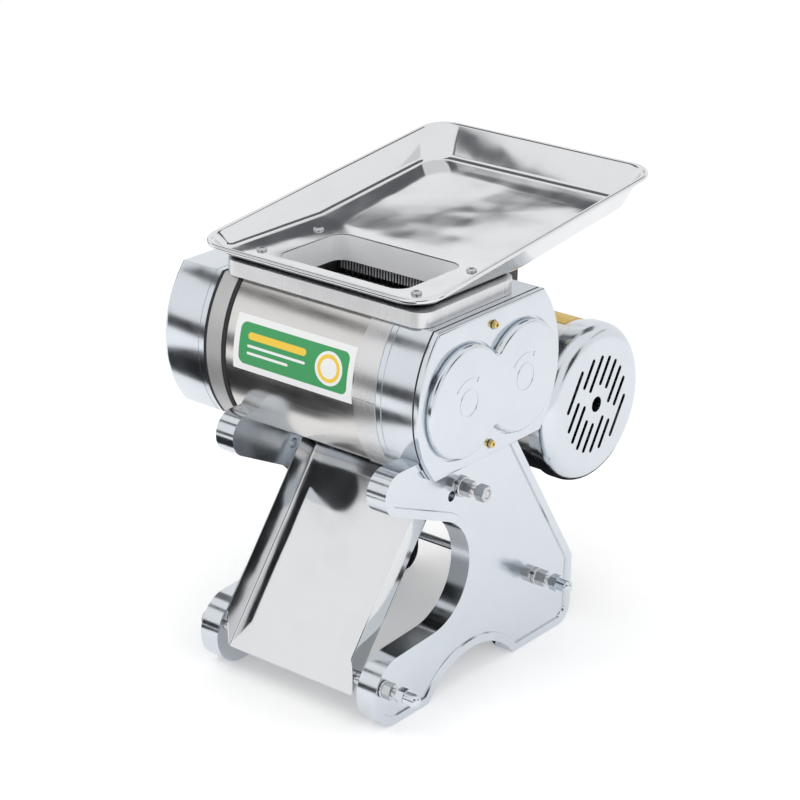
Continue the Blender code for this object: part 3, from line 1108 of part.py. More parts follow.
def make_switch(bench):
    """A box with a rocker on top of the motor's shell, and the gland for its supply lead."""
    right = SWITCH_BOX_RIGHT_X
    left = right - SWITCH_BOX_LENGTH
    front = MOTOR_Y - SWITCH_BOX_WIDTH / 2
    back = MOTOR_Y + SWITCH_BOX_WIDTH / 2
    bottom = MOTOR_Z + math.sqrt(MOTOR_SHELL_RADIUS ** 2 - (SWITCH_BOX_WIDTH / 2) ** 2) - SWITCH_BOX_SADDLE
    top = bottom + SWITCH_BOX_SADDLE + SWITCH_BOX_HEIGHT
    box = bench.add("switch_box", plate_z([rounded_rectangle(left, right, front, back, SWITCH_BOX_ROUND)],
                                          bottom, top), "black_plastic")
    wall = SWITCH_BOX_WALL
    inside = plate_z([rounded_rectangle(left + wall, right - wall, front + wall, back - wall,
                                        SWITCH_BOX_ROUND - wall)], bottom - OVERRUN, top - wall)
    bench.combine(box, bench.cutter(inside))
    saddle = plate_x([circle(MOTOR_Y, MOTOR_Z, MOTOR_SHELL_RADIUS + SEAT, FLATS_LARGE)],
                     left - OVERRUN, right + OVERRUN)
    bench.combine(box, bench.cutter(saddle))
    middle = (left + right) / 2
    hole_x = ROCKER_LENGTH / 2 + ROCKER_CLEARANCE
    hole_y = ROCKER_WIDTH / 2 + SEAT
    window = plate_z([[(middle - hole_x, MOTOR_Y - hole_y), (middle + hole_x, MOTOR_Y - hole_y),
                       (middle + hole_x, MOTOR_Y + hole_y), (middle - hole_x, MOTOR_Y + hole_y)]],
                     top - wall - OVERRUN, top + OVERRUN)
    bench.combine(box, bench.cutter(window))
    gland_z = top - SWITCH_BOX_HEIGHT / 2
    thread = GLAND_BORE + wall
    bench.combine(box, bench.cutter(plate_x([circle(MOTOR_Y, gland_z, thread + SEAT, FLATS_SMALL)],
                                            left - OVERRUN, left + wall + OVERRUN)))

    # The rocker's two faces meet over its pivot, and it rests with its left end up
    pivot = top - wall / 2
    half = ROCKER_LENGTH / 2
    dip = half * math.tan(ROCKER_TILT)
    outline = [(-half, -ROCKER_DEPTH), (half, -ROCKER_DEPTH), (half, ROCKER_RISE), (0.0, ROCKER_RISE - dip),
               (-half, ROCKER_RISE)]
    rocker = plate_y([outline], -ROCKER_WIDTH / 2, ROCKER_WIDTH / 2)
    rocker.transform(Matrix.Rotation(ROCKER_TILT, 4, "Y"))
    bench.add("switch_rocker", rocker, "grey_plastic", (middle, MOTOR_Y, pivot))

    collar_left = left - SEAT - GLAND_COLLAR_LENGTH
    profile = [(left + wall, GLAND_BORE), (left + wall, thread), (left - SEAT, thread),
               (left - SEAT, GLAND_COLLAR_RADIUS), (collar_left, GLAND_COLLAR_RADIUS), (collar_left, thread),
               (collar_left - GLAND_LENGTH, thread), (collar_left - GLAND_LENGTH, GLAND_BORE),
               (left + wall, GLAND_BORE)]
    gland = turned_mesh(profile, FLATS_SMALL)
    bench.add("cable_gland", moved(gland, 0.0, MOTOR_Y, gland_z), "black_plastic")


def make_collar(bench):
    """Machined frame on the body's top, with a spout that guides the meat down to the knives."""
    low = BODY_TOP + SEAT
    high = low + COLLAR_THICK
    outer = rounded_rectangle(COLLAR_LEFT_X, COLLAR_RIGHT_X, COLLAR_FRONT_Y, COLLAR_BACK_Y, COLLAR_ROUND)
    throat = rounded_rectangle(THROAT_LEFT_X, THROAT_RIGHT_X, THROAT_FRONT_Y, THROAT_BACK_Y, THROAT_ROUND)
    wall = SPOUT_WALL
    right = RIGHT_PLATE_LEFT_X - SEAT
    spout = rounded_rectangle(THROAT_LEFT_X - wall, right, THROAT_FRONT_Y - wall, THROAT_BACK_Y + wall,
                              THROAT_ROUND + wall)
    way = rounded_rectangle(THROAT_LEFT_X, right - wall, THROAT_FRONT_Y, THROAT_BACK_Y, THROAT_ROUND)
    collar = bench.add("feed_collar", plate_z([outer, throat], low, high), "brushed_aluminium")
    sleeve = plate_z([spout, way], low - SPOUT_DROP, low + SPOUT_SHELF)
    bench.combine(collar, bench.cutter(sleeve), "UNION")
    return collar, high


def rim_z(y):
    return TRAY_FRONT_Z + (y - TRAY_FRONT_Y) * math.tan(TRAY_TILT)


def floor_z(y, level):
    """Flat over the collar, then rising as steeply as the rim."""
    return level + max(y - TRAY_BEND_Y, 0.0) * math.tan(TRAY_TILT)


def make_tray(bench, collar, collar_top):
    """One sheet: floor, flared walls and a folded lip, open at the mouth and at the screws."""
    level = collar_top + SEAT + TRAY_SHEET
    right = 0.0
    left = right - TRAY_LENGTH
    lip = TRAY_LIP

    def ring(inset_x, inset_front, inset_back, corner):
        loop = rounded_rectangle(left + inset_x, right - inset_x, TRAY_FRONT_Y + inset_front,
                                 TRAY_BACK_Y - inset_back, corner)
        quarter = CORNER_STEPS + 1
        return ([(right - inset_x, TRAY_BEND_Y)] + loop[quarter:3 * quarter]
                + [(left + inset_x, TRAY_BEND_Y)] + loop[3 * quarter:] + loop[:quarter])

    fold = TRAY_FOLD
    rings = [
        (ring(TRAY_SIDE_FLARE + fold, TRAY_FRONT_FLARE + fold, TRAY_BACK_FLARE + fold, TRAY_FLOOR_CORNER - fold),
         lambda y: floor_z(y, level)),
        (ring(TRAY_SIDE_FLARE, TRAY_FRONT_FLARE, TRAY_BACK_FLARE, TRAY_FLOOR_CORNER),
         lambda y: floor_z(y, level) + fold / 2),
        (ring(lip, lip, lip, TRAY_CORNER - lip), rim_z),
        (ring(0.0, 0.0, 0.0, TRAY_CORNER), rim_z),
        (ring(-SEAT, -SEAT, -SEAT, TRAY_CORNER), lambda y: rim_z(y) - TRAY_LIP_DROP),
    ]
    shape = bmesh.new()
    loops = [[shape.verts.new((x, y, height(y))) for x, y in loop] for loop, height in rings]
    for inner, outer in zip(loops, loops[1:]):
        count = len(inner)
        for n in range(count):
            m = (n + 1) % count
            shape.faces.new((inner[n], inner[m], outer[m], outer[n]))
    half = 2 * (CORNER_STEPS + 1) + 1
    shape.faces.new(loops[0][:half + 1])
    shape.faces.new(loops[0][half:] + loops[0][:1])
    bmesh.ops.recalc_face_normals(shape, faces=shape.faces)
    mesh = bpy.data.meshes.new("tray")
    shape.to_mesh(mesh)
    shape.free()
    tray = bench.add("feed_tray", mesh, "mirror_steel")
    sheet = tray.modifiers.new("sheet", "SOLIDIFY")
    sheet.thickness = TRAY_SHEET
    sheet.offset = -1 if mesh.polygons[-1].normal.z > 0 else 1
    sheet.use_even_offset = True
    throat = rounded_rectangle(THROAT_LEFT_X, THROAT_RIGHT_X, THROAT_FRONT_Y, THROAT_BACK_Y, THROAT_ROUND)
    bench.combine(tray, bench.cutter(plate_z([throat], level - OVERRUN, level + OVERRUN)))
    for side, x in (("left", TRAY_SCREW_LEFT_X), ("right", TRAY_SCREW_RIGHT_X)):
        for place, y in (("front", TRAY_SCREW_FRONT_Y), ("back", TRAY_SCREW_BACK_Y)):
            drill = plate_z([circle(x, y, TRAY_SCREW_RADIUS + SEAT, FLATS_SCREW)],
                            level - TRAY_SCREW_LENGTH - OVERRUN, level + OVERRUN)
            bench.combine(tray, bench.cutter(drill))
            bench.combine(collar, bench.cutter(drill.copy()))
            shank = plate_z([circle(x, y, TRAY_SCREW_RADIUS, FLATS_SCREW)], level - TRAY_SCREW_LENGTH,
                            level + SEAT * 2)
            head = plate_z([circle(x, y, TRAY_SCREW_HEAD_RADIUS, FLATS_SCREW)], level + SEAT,
                           level + SEAT + TRAY_SCREW_HEAD)
            bench.add(f"{place}_{side}_tray_screw", united(bench, shank, head), "steel")


def main():
    remove_everything()
    bench = Bench()
    make_stands(bench)
    make_bolts(bench)
    make_nuts(bench)
    make_chute(bench)
    make_gearbox(bench)
    make_right_frame(bench)
    make_gear_cover(bench)
    make_chamber(bench)
    make_knives(bench)
    make_combs(bench)
    motor, shaft_left = make_gear_train(bench)
    make_motor(bench, motor, shaft_left)
    make_switch(bench)
    collar, collar_top = make_collar(bench)
    make_tray(bench, collar, collar_top)


main()
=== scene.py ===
"""Dresses the meat cutter: smooth castings, polished sheet, knives, motor, label, finishes and studio."""

import json
import math

import bmesh
import bpy
from bpy.props import FloatProperty, FloatVectorProperty, IntProperty, PointerProperty
from mathutils import Matrix, Vector


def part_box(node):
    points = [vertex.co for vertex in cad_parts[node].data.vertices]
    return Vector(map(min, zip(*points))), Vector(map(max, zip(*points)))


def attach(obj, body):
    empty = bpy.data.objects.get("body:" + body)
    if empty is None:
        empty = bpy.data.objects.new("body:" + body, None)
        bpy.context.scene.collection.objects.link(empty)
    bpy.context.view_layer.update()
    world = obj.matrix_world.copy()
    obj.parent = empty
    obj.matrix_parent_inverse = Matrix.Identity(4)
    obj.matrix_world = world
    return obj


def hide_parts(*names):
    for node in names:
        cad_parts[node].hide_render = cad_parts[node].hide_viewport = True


bl_info = {
    "name": "Meat cutter dressing",
    "version": (1, 0, 0),
    "blender": (4, 5, 0),
    "location": "View3D > Sidebar > Meat cutter",
    "description": "Builds the visible pieces and finishes of a table-top meat cutter",
    "category": "Object",
}

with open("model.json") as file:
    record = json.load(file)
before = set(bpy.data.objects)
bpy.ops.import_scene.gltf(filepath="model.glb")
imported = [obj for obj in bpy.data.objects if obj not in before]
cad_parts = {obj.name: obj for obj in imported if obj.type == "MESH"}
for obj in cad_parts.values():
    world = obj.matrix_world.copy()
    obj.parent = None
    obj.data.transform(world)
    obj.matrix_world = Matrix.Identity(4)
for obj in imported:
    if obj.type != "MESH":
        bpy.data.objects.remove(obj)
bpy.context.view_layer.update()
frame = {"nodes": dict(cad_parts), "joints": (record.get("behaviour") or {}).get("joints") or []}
AXES = {joint["name"]: Vector(joint["pos_m"]) for joint in frame["joints"]}

NEAR = 0.0001  # metres within which a point lies on a sheet's edge
TOUCH = 0.00001  # metres within which two points are one
FOLD = math.radians(20)  # a sharper angle in a sheet is a fold
ARC_STEP = math.radians(4)  # turn between two points of an arc
FACE_EDGE = math.radians(30)  # least turn at the edge of a flat face
ARROW_ENDS = (math.radians(142), math.radians(58))  # where an arrow's arc starts and ends
ARROW_TIP = math.radians(13)  # how far the tip of an arrow reaches past its arc
SLOT_COLUMNS = 8
QUARTER_STEP = 7.5  # degrees between two points of a rounded edge
SLOT_ROUND = 0.98  # share of a slot's half width that its ends' rounding takes
DOME_ROUND = 0.95  # share of a dome nut's radius that its rounding takes
SCREW_ROUND = 0.7  # share of a tray screw's height that its rounding takes
SHANK_PLAY = 0.8  # share of a tray screw's hole that its shank fills
CROSS = (0.55, 0.14)  # half length and half width of the cross in a tray screw, as shares of its radius


def low(node):
    return Vector(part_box(node)[0])


def high(node):
    return Vector(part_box(node)[1])


def centre(node):
    return (low(node) + high(node)) / 2


def ends(node):
    """Both ends of a solid along X."""
    return low(node).x, high(node).x


def length(name, description, value):
    return FloatProperty(name=name, description=description, default=value, min=0.0, subtype="DISTANCE",
                         unit="LENGTH")


def position(name, description, value):
    return FloatProperty(name=name, description=description, default=value, subtype="DISTANCE", unit="LENGTH")


def strength(name, description, value):
    return FloatProperty(name=name, description=description, default=value, min=0.0)


def angle(name, description, degrees):
    return FloatProperty(name=name, description=description, default=math.radians(degrees), subtype="ANGLE",
                         unit="ROTATION")


def colour(name, description, value):
    return FloatVectorProperty(name=name, description=description, default=value, size=3, min=0.0, max=1.0,
                               subtype="COLOR")


class BodySizes(bpy.types.PropertyGroup):
    """Section and edges of the round body"""

    radius: length("Radius", "Radius of the body's round sides", 0.1047)
    centre_y: position("Centre Y", "Place of the body's axis", -0.06045)
    centre_z: length("Centre Z", "Height of the body's axis", 0.2957)
    edge: length("Edge", "Rounding of the castings' edges", 0.0016)
    end_edge: length("End edge", "Rounding at the gearbox's far end", 0.0060)
    groove: length("Groove", "Width of the thin turned grooves", 0.0006)
    groove_place: length("Groove place", "Distance of a groove from its casting's end", 0.0062)
    cap_length: length("Cap length", "Height of the round cap on the gearbox", 0.0065)
    cap_radius: length("Cap radius", "Radius of the round cap on the gearbox", 0.0270)
    cover_gap: length("Cover gap", "Width of the dark seal beside the knife cover", 0.0038)
    cover_inset: length("Cover inset", "How far the knife cover lies inside the castings", 0.0015)
    cover_flange: length("Cover flange", "Width of the knife cover's folded flanges", 0.0120)
    sheet: length("Sheet", "Thickness of the knife cover's sheet", 0.0012)
    rear_flange: length("Rear flange", "Width of the rear cover's top flange", 0.0300)
    seal_depth: length("Seal depth", "Depth of the dark seal", 0.0030)
    wall: length("Wall", "Thickness of the gearbox's wall", 0.0045)
    gearbox_left_x: position("Gearbox end", "Left face of the gearbox", -0.1646)
    lobe_radius: length("Lobe radius", "Radius of the lobe round the layshaft", 0.07603)
    reach_radius: length("Reach radius", "Radius of the lobe round the motor's axis", 0.03753)
    lobe_step: length("Lobe step", "How much shorter the lobe is than the body's slice", 0.0004)
    boss_length: length("Boss length", "Length of the layshaft's bearing boss", 0.0070)
    boss_radius: length("Boss radius", "Radius of the layshaft's bearing boss", 0.0123)
    boss_bore: length("Boss bore", "Radius of the layshaft's bearing bore", 0.0083)
    lay_bore: length("Layshaft bore", "Radius of the layshaft's way through the plate", 0.0083)
    motor_bore: length("Motor bore", "Radius of the motor shaft's way through the plate", 0.0098)
    bearing_width: length("Bearing width", "Depth of a bearing's seat", 0.0123)
    bearing_bore: length("Bearing bore", "Radius of a bearing's seat", 0.0203)
    shaft_bore: length("Shaft bore", "Radius of a knife shaft's way through a plate", 0.0103)
    timing_cavity: length("Gear cavity", "Radius of each timing gear's cavity", 0.04836)
    screw_bore: length("Screw bore", "Radius of the gear cover's screw holes", 0.0029)
    screw_shank: length("Screw shank", "Radius of the gear cover's screws", 0.0025)


class GearCoverSizes(bpy.types.PropertyGroup):
    """The cover plate over the timing gears"""

    thickness: length("Thickness", "Thickness of the cover plate", 0.0060)
    edge: length("Edge", "Rounding of the plate's outer edge", 0.0024)
    boss_radius: length("Boss radius", "Radius of each round boss", 0.0534)
    boss_waist: length("Waist round", "Rounding in the notch between the bosses", 0.0050)
    boss_wall: length("Boss wall", "Thickness of the bosses' wall", 0.0050)
    cavity_waist: length("Cavity waist", "Rounding in the notch of the gears' cavity", 0.0100)
    boss_edge: length("Boss edge", "Rounding of the bosses' outer edge", 0.0042)
    gutter: length("Gutter", "Width of the groove at the foot of the bosses", 0.0017)
    mark_radius: length("Mark radius", "Radius of the raised circle on each boss", 0.0128)
    arrow_radius: length("Arrow radius", "Radius of the raised rotation arrow", 0.0225)
    mark_width: length("Mark width", "Width of the raised lines", 0.0008)
    screw_radius: length("Screw radius", "Radius of the brass screws' heads", 0.0036)
    recess_radius: length("Recess radius", "Radius of the screws' recesses", 0.0048)


class TraySizes(bpy.types.PropertyGroup):
    """The feed tray, the collar and the mouth"""

    floor_z: length("Floor height", "Height of the floor at the mouth", 0.3816)
    front_rim_z: length("Front rim height", "Height of the rim at the front", 0.3929)
    tilt: angle("Tilt", "Slope of the rim and of the rear floor", 6.44)
    bend_y: length("Bend", "Place of the bend in the floor", 0.01075)
    side_flare: length("Side flare", "How far each side wall leans out", 0.0152)
    front_flare: length("Front flare", "How far the front wall leans out", 0.0117)
    back_flare: length("Back flare", "How far the back wall leans out", 0.0237)
    corner: length("Corner", "Radius of the floor's corners", 0.0255)
    floor_bend: length("Floor bend", "Rounding between the floor and the walls", 0.0050)
    lip: length("Lip", "Width of the rolled rim", 0.0046)
    lip_drop: length("Lip drop", "Height of the rolled rim", 0.0038)
    lip_round: length("Lip round", "Rounding of the rolled rim", 0.0021)
    sheet: length("Sheet", "Thickness of the sheet", 0.0010)
    throat_low_x: position("Mouth left", "Left side of the mouth", -0.0749)
    throat_high_x: length("Mouth right", "Right side of the mouth", 0.0731)
    throat_low_y: position("Mouth front", "Front of the mouth", -0.10905)
    throat_high_y: position("Mouth back", "Back of the mouth", -0.01625)
    throat_corner: length("Mouth corner", "Radius of the mouth's corners", 0.0140)
    collar_corner: length("Collar corner", "Radius of the collar's corners", 0.0160)
    screw_radius: length("Screw radius", "Radius of the screws' heads", 0.0050)
    screw_height: length("Screw height", "Height of the screws' heads", 0.0024)
    screw_shank: length("Screw shank", "Radius of the screws' holes", 0.0025)
    spout_drop: length("Spout drop", "How far the spout reaches below the collar", 0.0110)
    spout_shelf: length("Spout shelf", "Height of the shelf beside the spout", 0.0030)
    spout_wall: length("Spout wall", "Thickness of the spout", 0.0025)
    collar_edge: length("Collar edge", "Rounding of the collar's edges", 0.0005)


class StandSizes(bpy.types.PropertyGroup):
    """Outline of the two cast stands, in the plane across the knife shafts"""

    foot_radius: length("Foot radius", "Radius of the front foot", 0.0338)
    foot_y: position("Foot Y", "Centre of the front foot", -0.17745)
    lobe_radius: length("Lobe radius", "Radius of the front lobe", 0.0207)
    lobe_y: position("Lobe Y", "Centre of the right stand's lobe", -0.17925)
    lobe_z: length("Lobe Z", "Height of the lobe's centre", 0.2268)
    left_lobe_shift: length("Left lobe shift", "How far the left stand's lobe lies back", 0.0130)
    cutout_radius: length("Cut-out radius", "Radius of the cut-out", 0.0549)
    cutout_y: position("Cut-out Y", "Centre of the cut-out", -0.13065)
    cutout_z: length("Cut-out Z", "Height of the cut-out's centre", 0.1251)
    arch_radius: length("Arch radius", "Radius of the arch between the feet", 0.0828)
    arch_y: position("Arch Y", "Centre of the arch", -0.06675)
    arch_drop: length("Arch drop", "How far the arch's centre lies below the worktop", 0.0504)
    rear_y: length("Rear edge", "Place of the rear edge", 0.09175)
    rear_corner: length("Rear corner", "Radius of the rear foot's corner", 0.0198)
    rear_top: length("Rear edge top", "Height of the straight rear edge", 0.0700)
    shoulder_in: length("Shoulder in", "How far the rear shoulder leans in", 0.0050)
    shoulder_up: length("Shoulder up", "Height of the rear shoulder", 0.0083)
    top_front_y: position("Top front", "Front end of the flat top", -0.14175)
    top_rear_y: position("Top rear", "Rear end of the flat top", -0.02355)
    rim: length("Rim", "Width of the raised rim", 0.0080)
    panel_depth: length("Panel depth", "How deep the outer face is sunk", 0.0018)
    edge: length("Edge", "Rounding of the rim's edges", 0.0022)
    spare_hole: length("Spare hole", "Radius of the open hole near the top bolt", 0.0050)
    spare_hole_y: position("Spare hole Y", "Place of the open hole", -0.10285)
    spare_hole_z: length("Spare hole Z", "Height of the open hole", 0.1980)


class ChuteSizes(bpy.types.PropertyGroup):
    """The folded chute between the stands"""

    sheet: length("Sheet", "Thickness of the sheet", 0.0012)
    fold: length("Fold", "Rounding of the folds", 0.0022)
    foot_y: position("Foot Y", "Front end of the floor", -0.20535)
    foot_z: length("Foot Z", "Height of the floor's front end", 0.0279)
    top_y: position("Top Y", "Rear end of the floor", -0.06225)
    top_z: length("Top Z", "Height of the floor's rear end", 0.2160)
    flange: length("Flange", "Height of the side flanges", 0.0243)


class MotorSizes(bpy.types.PropertyGroup):
    """The motor's outer parts"""

    cover_radius: length("Cover radius", "Radius of the fan cover", 0.0790)
    cover_round: length("Cover round", "Rounding of the fan cover's edge", 0.0150)
    cover_wall: length("Cover wall", "Thickness of the fan cover", 0.0024)
    slot_width: length("Slot width", "Width of a fan slot", 0.0050)
    slot_pitch: length("Slot pitch", "Distance between fan slots", 0.0124)
    slot_tilt: angle("Slot tilt", "Lean of the slots", 31.5)
    slot_field: length("Slot field", "Radius of the slotted field", 0.0487)
    slot_hub: length("Slot hub", "Radius of the plain hub", 0.0188)
    slot_gap: length("Slot gap", "Half of the plain band across the middle", 0.0066)
    hub_hole: length("Hub hole", "Radius of the hole in the middle", 0.0078)
    label_start: angle("Label start", "Where the yellow label begins on the shell", 74.0)
    label_turn: angle("Label turn", "How far the yellow label goes round the shell", 23.0)
    label_low_x: length("Label left", "Left end of the yellow label", 0.0561)
    label_high_x: length("Label right", "Right end of the yellow label", 0.0951)
    bell_edge: length("Bell edge", "Rounding of the front bell's edge", 0.0040)
    bell_bore: length("Bell bore", "Radius of the front bearing's seat", 0.0203)
    shell_wall: length("Shell wall", "Thickness of the shell", 0.0040)


class SwitchSizes(bpy.types.PropertyGroup):
    """The switch box, its rocker and the cable gland"""

    wall: length("Wall", "Thickness of the box's wall", 0.0025)
    corner: length("Corner", "Radius of the box's corners", 0.0040)
    edge: length("Edge", "Rounding of the box's top edge", 0.0018)
    play: length("Play", "Gap round moving and resting parts", 0.0003)
    rocker_length: length("Rocker length", "Length of the rocker", 0.0240)
    rocker_width: length("Rocker width", "Width of the rocker", 0.0140)
    rocker_play: length("Rocker play", "Gap at the rocker's ends", 0.0012)
    rocker_rise: length("Rocker rise", "How far the rocker stands up", 0.0050)
    rocker_depth: length("Rocker depth", "How deep the rocker reaches", 0.0050)
    rocker_tilt: angle("Rocker tilt", "How far the rocker leans at rest", 10.0)
    gland_bore: length("Gland bore", "Radius of the gland's bore", 0.0038)
    gland_collar: length("Gland collar", "Length of the gland's collar", 0.0050)
    gland_ridges: IntProperty(name="Gland ridges", description="Ridges along the gland", default=6, min=1,
                              max=20)


class StudioSizes(bpy.types.PropertyGroup):
    """Floor and lamps"""

    floor_size: length("Floor size", "Length of the floor's sides", 24.0)
    fill: strength("Fill", "Level of the background's soft light", 0.80)
    lift: strength("Floor lift", "Extra level of the floor as it is seen", 0.25)
    key: strength("Key lamp", "Power of the lamp at the front", 7.0)
    side: strength("Side lamp", "Power of the lamp at the right", 4.0)
    top: strength("Top lamp", "Power of the lamp above the back", 5.0)


class KnifeSizes(bpy.types.PropertyGroup):
    """The disc knives"""

    blade_radius: length("Blade radius", "Radius of a disc knife", 0.0465)
    arbor_radius: length("Arbor radius", "Radius of the spacers", 0.0150)
    bore_radius: length("Bore radius", "Radius of the bore", 0.0103)
    blade_thickness: length("Blade thickness", "Thickness of a disc knife", 0.0012)
    bevel: length("Bevel", "Width of the ground edge", 0.0012)
    pitch: length("Pitch", "Distance between two knives on one shaft", 0.0070)
    finger: length("Finger", "Width of a comb's finger", 0.0013)
    finger_rise: length("Finger rise", "How far the fingers stand off the comb", 0.0007)
    finger_low_z: length("Finger foot", "Height of the fingers' lower ends", 0.3396)
    count: IntProperty(name="Knives", description="Knives on each shaft", default=21, min=1, max=40)


class NutSizes(bpy.types.PropertyGroup):
    """Nuts and bolts on the stands"""

    hexagon: length("Hexagon", "Radius over the corners of a nut", 0.0080)
    chamfer: length("Chamfer", "Chamfer on a nut's corners", 0.0009)
    washer: length("Washer", "Thickness of a flange", 0.0035)
    dome_radius: length("Dome radius", "Radius of the dome nuts' caps", 0.0062)
    dome_hexagon: length("Dome hexagon", "Height of the dome nuts' hexagons", 0.0080)
    bolt_radius: length("Bolt radius", "Radius of the bolts", 0.0040)
    clearance: length("Clearance", "Play round a bolt", 0.0003)
    thread_pitch: length("Thread pitch", "Pitch of the threads", 0.00125)
    thread_depth: length("Thread depth", "Depth of the threads", 0.0005)
    collar_radius: length("Collar radius", "Radius of the studs' inner collars", 0.0065)
    head: length("Head", "Height of the bolts' heads", 0.0064)
    spot_radius: length("Spot face", "Radius of the flat round the lower bolt", 0.0095)


class LabelSizes(bpy.types.PropertyGroup):
    """The label on the knife cover"""

    low_x: position("Left end", "Left end of the label", -0.0775)
    high_x: length("Right end", "Right end of the label", 0.0625)
    start: angle("Start", "Where the label begins on the round cover", 155.4)
    turn: angle("Turn", "How far the label goes round the cover", 28.8)
    lift: length("Lift", "How far the label stands off the sheet", 0.0002)


class Finishes(bpy.types.PropertyGroup):
    """Colours of the finishes"""

    casting: colour("Casting", "Bright plated castings", (0.66, 0.70, 0.745))
    polished: colour("Polished sheet", "Mirror sheet of the tray and the chute", (0.74, 0.75, 0.76))
    cover: colour("Knife cover", "Satin sheet of the knife cover and motor", (0.70, 0.685, 0.67))
    throat: colour("Throat", "Smooth walls of the mouth", (0.90, 0.905, 0.92))
    machined: colour("Machined", "Milled aluminium of the collar", (0.72, 0.72, 0.73))
    matt_cast: colour("Frame plates", "Sand-cast aluminium of the frame plates", (0.60, 0.60, 0.605))
    steel: colour("Steel", "Bolts, nuts and shafts", (0.58, 0.59, 0.61))
    blade: colour("Blade", "Ground knives", (0.82, 0.83, 0.84))
    brass: colour("Brass", "Gear cover screws", (0.74, 0.58, 0.24))
    black: colour("Black", "Seals and the switch box", (0.018, 0.018, 0.020))
    grey: colour("Grey", "The rocker", (0.16, 0.16, 0.17))
    copper: colour("Winding", "The motor's winding", (0.62, 0.28, 0.14))
    label_white: colour("Label white", "Ground of the label", (0.86, 0.87, 0.87))
    label_green: colour("Label green", "Field of the label", (0.045, 0.330, 0.110))
    label_yellow: colour("Label yellow", "Yellow of the labels", (0.90, 0.60, 0.06))
    floor: colour("Floor", "The pale floor", (0.90, 0.90, 0.90))


GROUPS = {
    "cutter_body": BodySizes,
    "cutter_gear_cover": GearCoverSizes,
    "cutter_tray": TraySizes,
    "cutter_stand": StandSizes,
    "cutter_chute": ChuteSizes,
    "cutter_motor": MotorSizes,
    "cutter_switch": SwitchSizes,
    "cutter_knives": KnifeSizes,
    "cutter_nuts": NutSizes,
    "cutter_label": LabelSizes,
    "cutter_finishes": Finishes,
    "cutter_studio": StudioSizes,
}


def sizes(name):
    return getattr(bpy.context.scene, "cutter_" + name)


# Shapes


class Outline:
    """Lines and arcs in a plane across the shafts, drawn one after the other and then filled."""

    def __init__(self, x, y, z):
        self.shape = bmesh.new()
        self.x = x
        self.last = self.shape.verts.new((x, y, z))

    def line(self, y, z):
        self.last = extend(self.shape, self.last, (self.x, y, z))

    def arc(self, y, z, turn, step=ARC_STEP):
        steps = max(2, round(abs(turn) / step))
        made = bmesh.ops.spin(self.shape, geom=[self.last], cent=(self.x, y, z), axis=(1, 0, 0),
                              angle=turn, steps=steps)
        self.last = next(g for g in made["geom_last"] if isinstance(g, bmesh.types.BMVert))

    def plate(self, thickness):
        bmesh.ops.remove_doubles(self.shape, verts=self.shape.verts, dist=2 * TOUCH)
        loose = [edge for edge in self.shape.edges if not edge.link_faces]
        if any(len(vert.link_edges) != 2 for vert in self.shape.verts):
            loose.append(self.shape.edges.new([v for v in self.shape.verts if len(v.link_edges) == 1]))
        bmesh.ops.edgeloop_fill(self.shape, edges=loose)
        deepen(self.shape, thickness)
        return self.shape


def points(made):
    """The vertices in what a mesh step made."""
    return [part for part in made["geom"] if isinstance(part, bmesh.types.BMVert)]


def extend(shape, last, place):
    """Draws a line from the last vertex to a place and gives the new vertex."""
    new = bmesh.ops.extrude_vert_indiv(shape, verts=[last])["verts"][0]
    new.co = place
    return new


def pull(shape, x):
    """Draws every edge out along X into faces."""
    made = bmesh.ops.extrude_edge_only(shape, edges=shape.edges[:])
    bmesh.ops.translate(shape, vec=(x, 0, 0), verts=points(made))


def bevel(shape, parts, width, segments, affect="EDGES"):
    bmesh.ops.bevel(shape, geom=parts, offset=width, segments=segments, profile=0.5, affect=affect,
                    material=-1)


def deepen(shape, thickness, axis=0):
    """Pulls the flat faces out into a closed solid along an axis."""
    made = bmesh.ops.extrude_face_region(shape, geom=shape.faces[:])
    push = Vector((0.0, 0.0, 0.0))
    push[axis] = thickness
    bmesh.ops.translate(shape, vec=push, verts=points(made))
    bmesh.ops.recalc_face_normals(shape, faces=shape.faces)


def round_edges(shape, keep, width, segments=4):
    edges = [edge for edge in shape.edges if keep(edge)]
    bmesh.ops.bevel(shape, geom=edges, offset=width, segments=segments, profile=0.5, affect="EDGES",
                    material=-1, clamp_overlap=True)


def around_face(x):
    """Tells the edges that bound the flat faces at one x."""
    def keep(edge):
        flat = all(abs(vert.co.x - x) < TOUCH for vert in edge.verts)
        return flat and edge.calc_face_angle(0.0) > FACE_EDGE
    return keep


def section(x_low, x_high, inset=0.0):
    """A slice of the round body with its flat top and bottom."""
    body = sizes("body")
    shape = bmesh.new()
    turn = Matrix.Translation((x_low, body.centre_y, body.centre_z)) @ Matrix.Rotation(math.pi / 2, 4, "Y")
    bmesh.ops.create_circle(shape, cap_ends=True, radius=body.radius - inset, segments=144, matrix=turn)
    for height, normal in ((high("gear_housing").z - inset, 1), (low("gear_housing").z + inset, -1)):
        bmesh.ops.bisect_plane(shape, geom=shape.verts[:] + shape.edges[:] + shape.faces[:],
                               plane_co=(0, 0, height), plane_no=(0, 0, normal), clear_outer=True)
    deepen(shape, x_high - x_low)
    return shape


def rod(x_low, x_high, radius, y, z, segments=48, tip=None):
    shape = bmesh.new()
    place = Matrix.Translation(((x_low + x_high) / 2, y, z)) @ Matrix.Rotation(math.pi / 2, 4, "Y")
    bmesh.ops.create_cone(shape, cap_ends=True, segments=segments, radius1=radius,
                          radius2=radius if tip is None else tip, depth=x_high - x_low, matrix=place)
    return shape


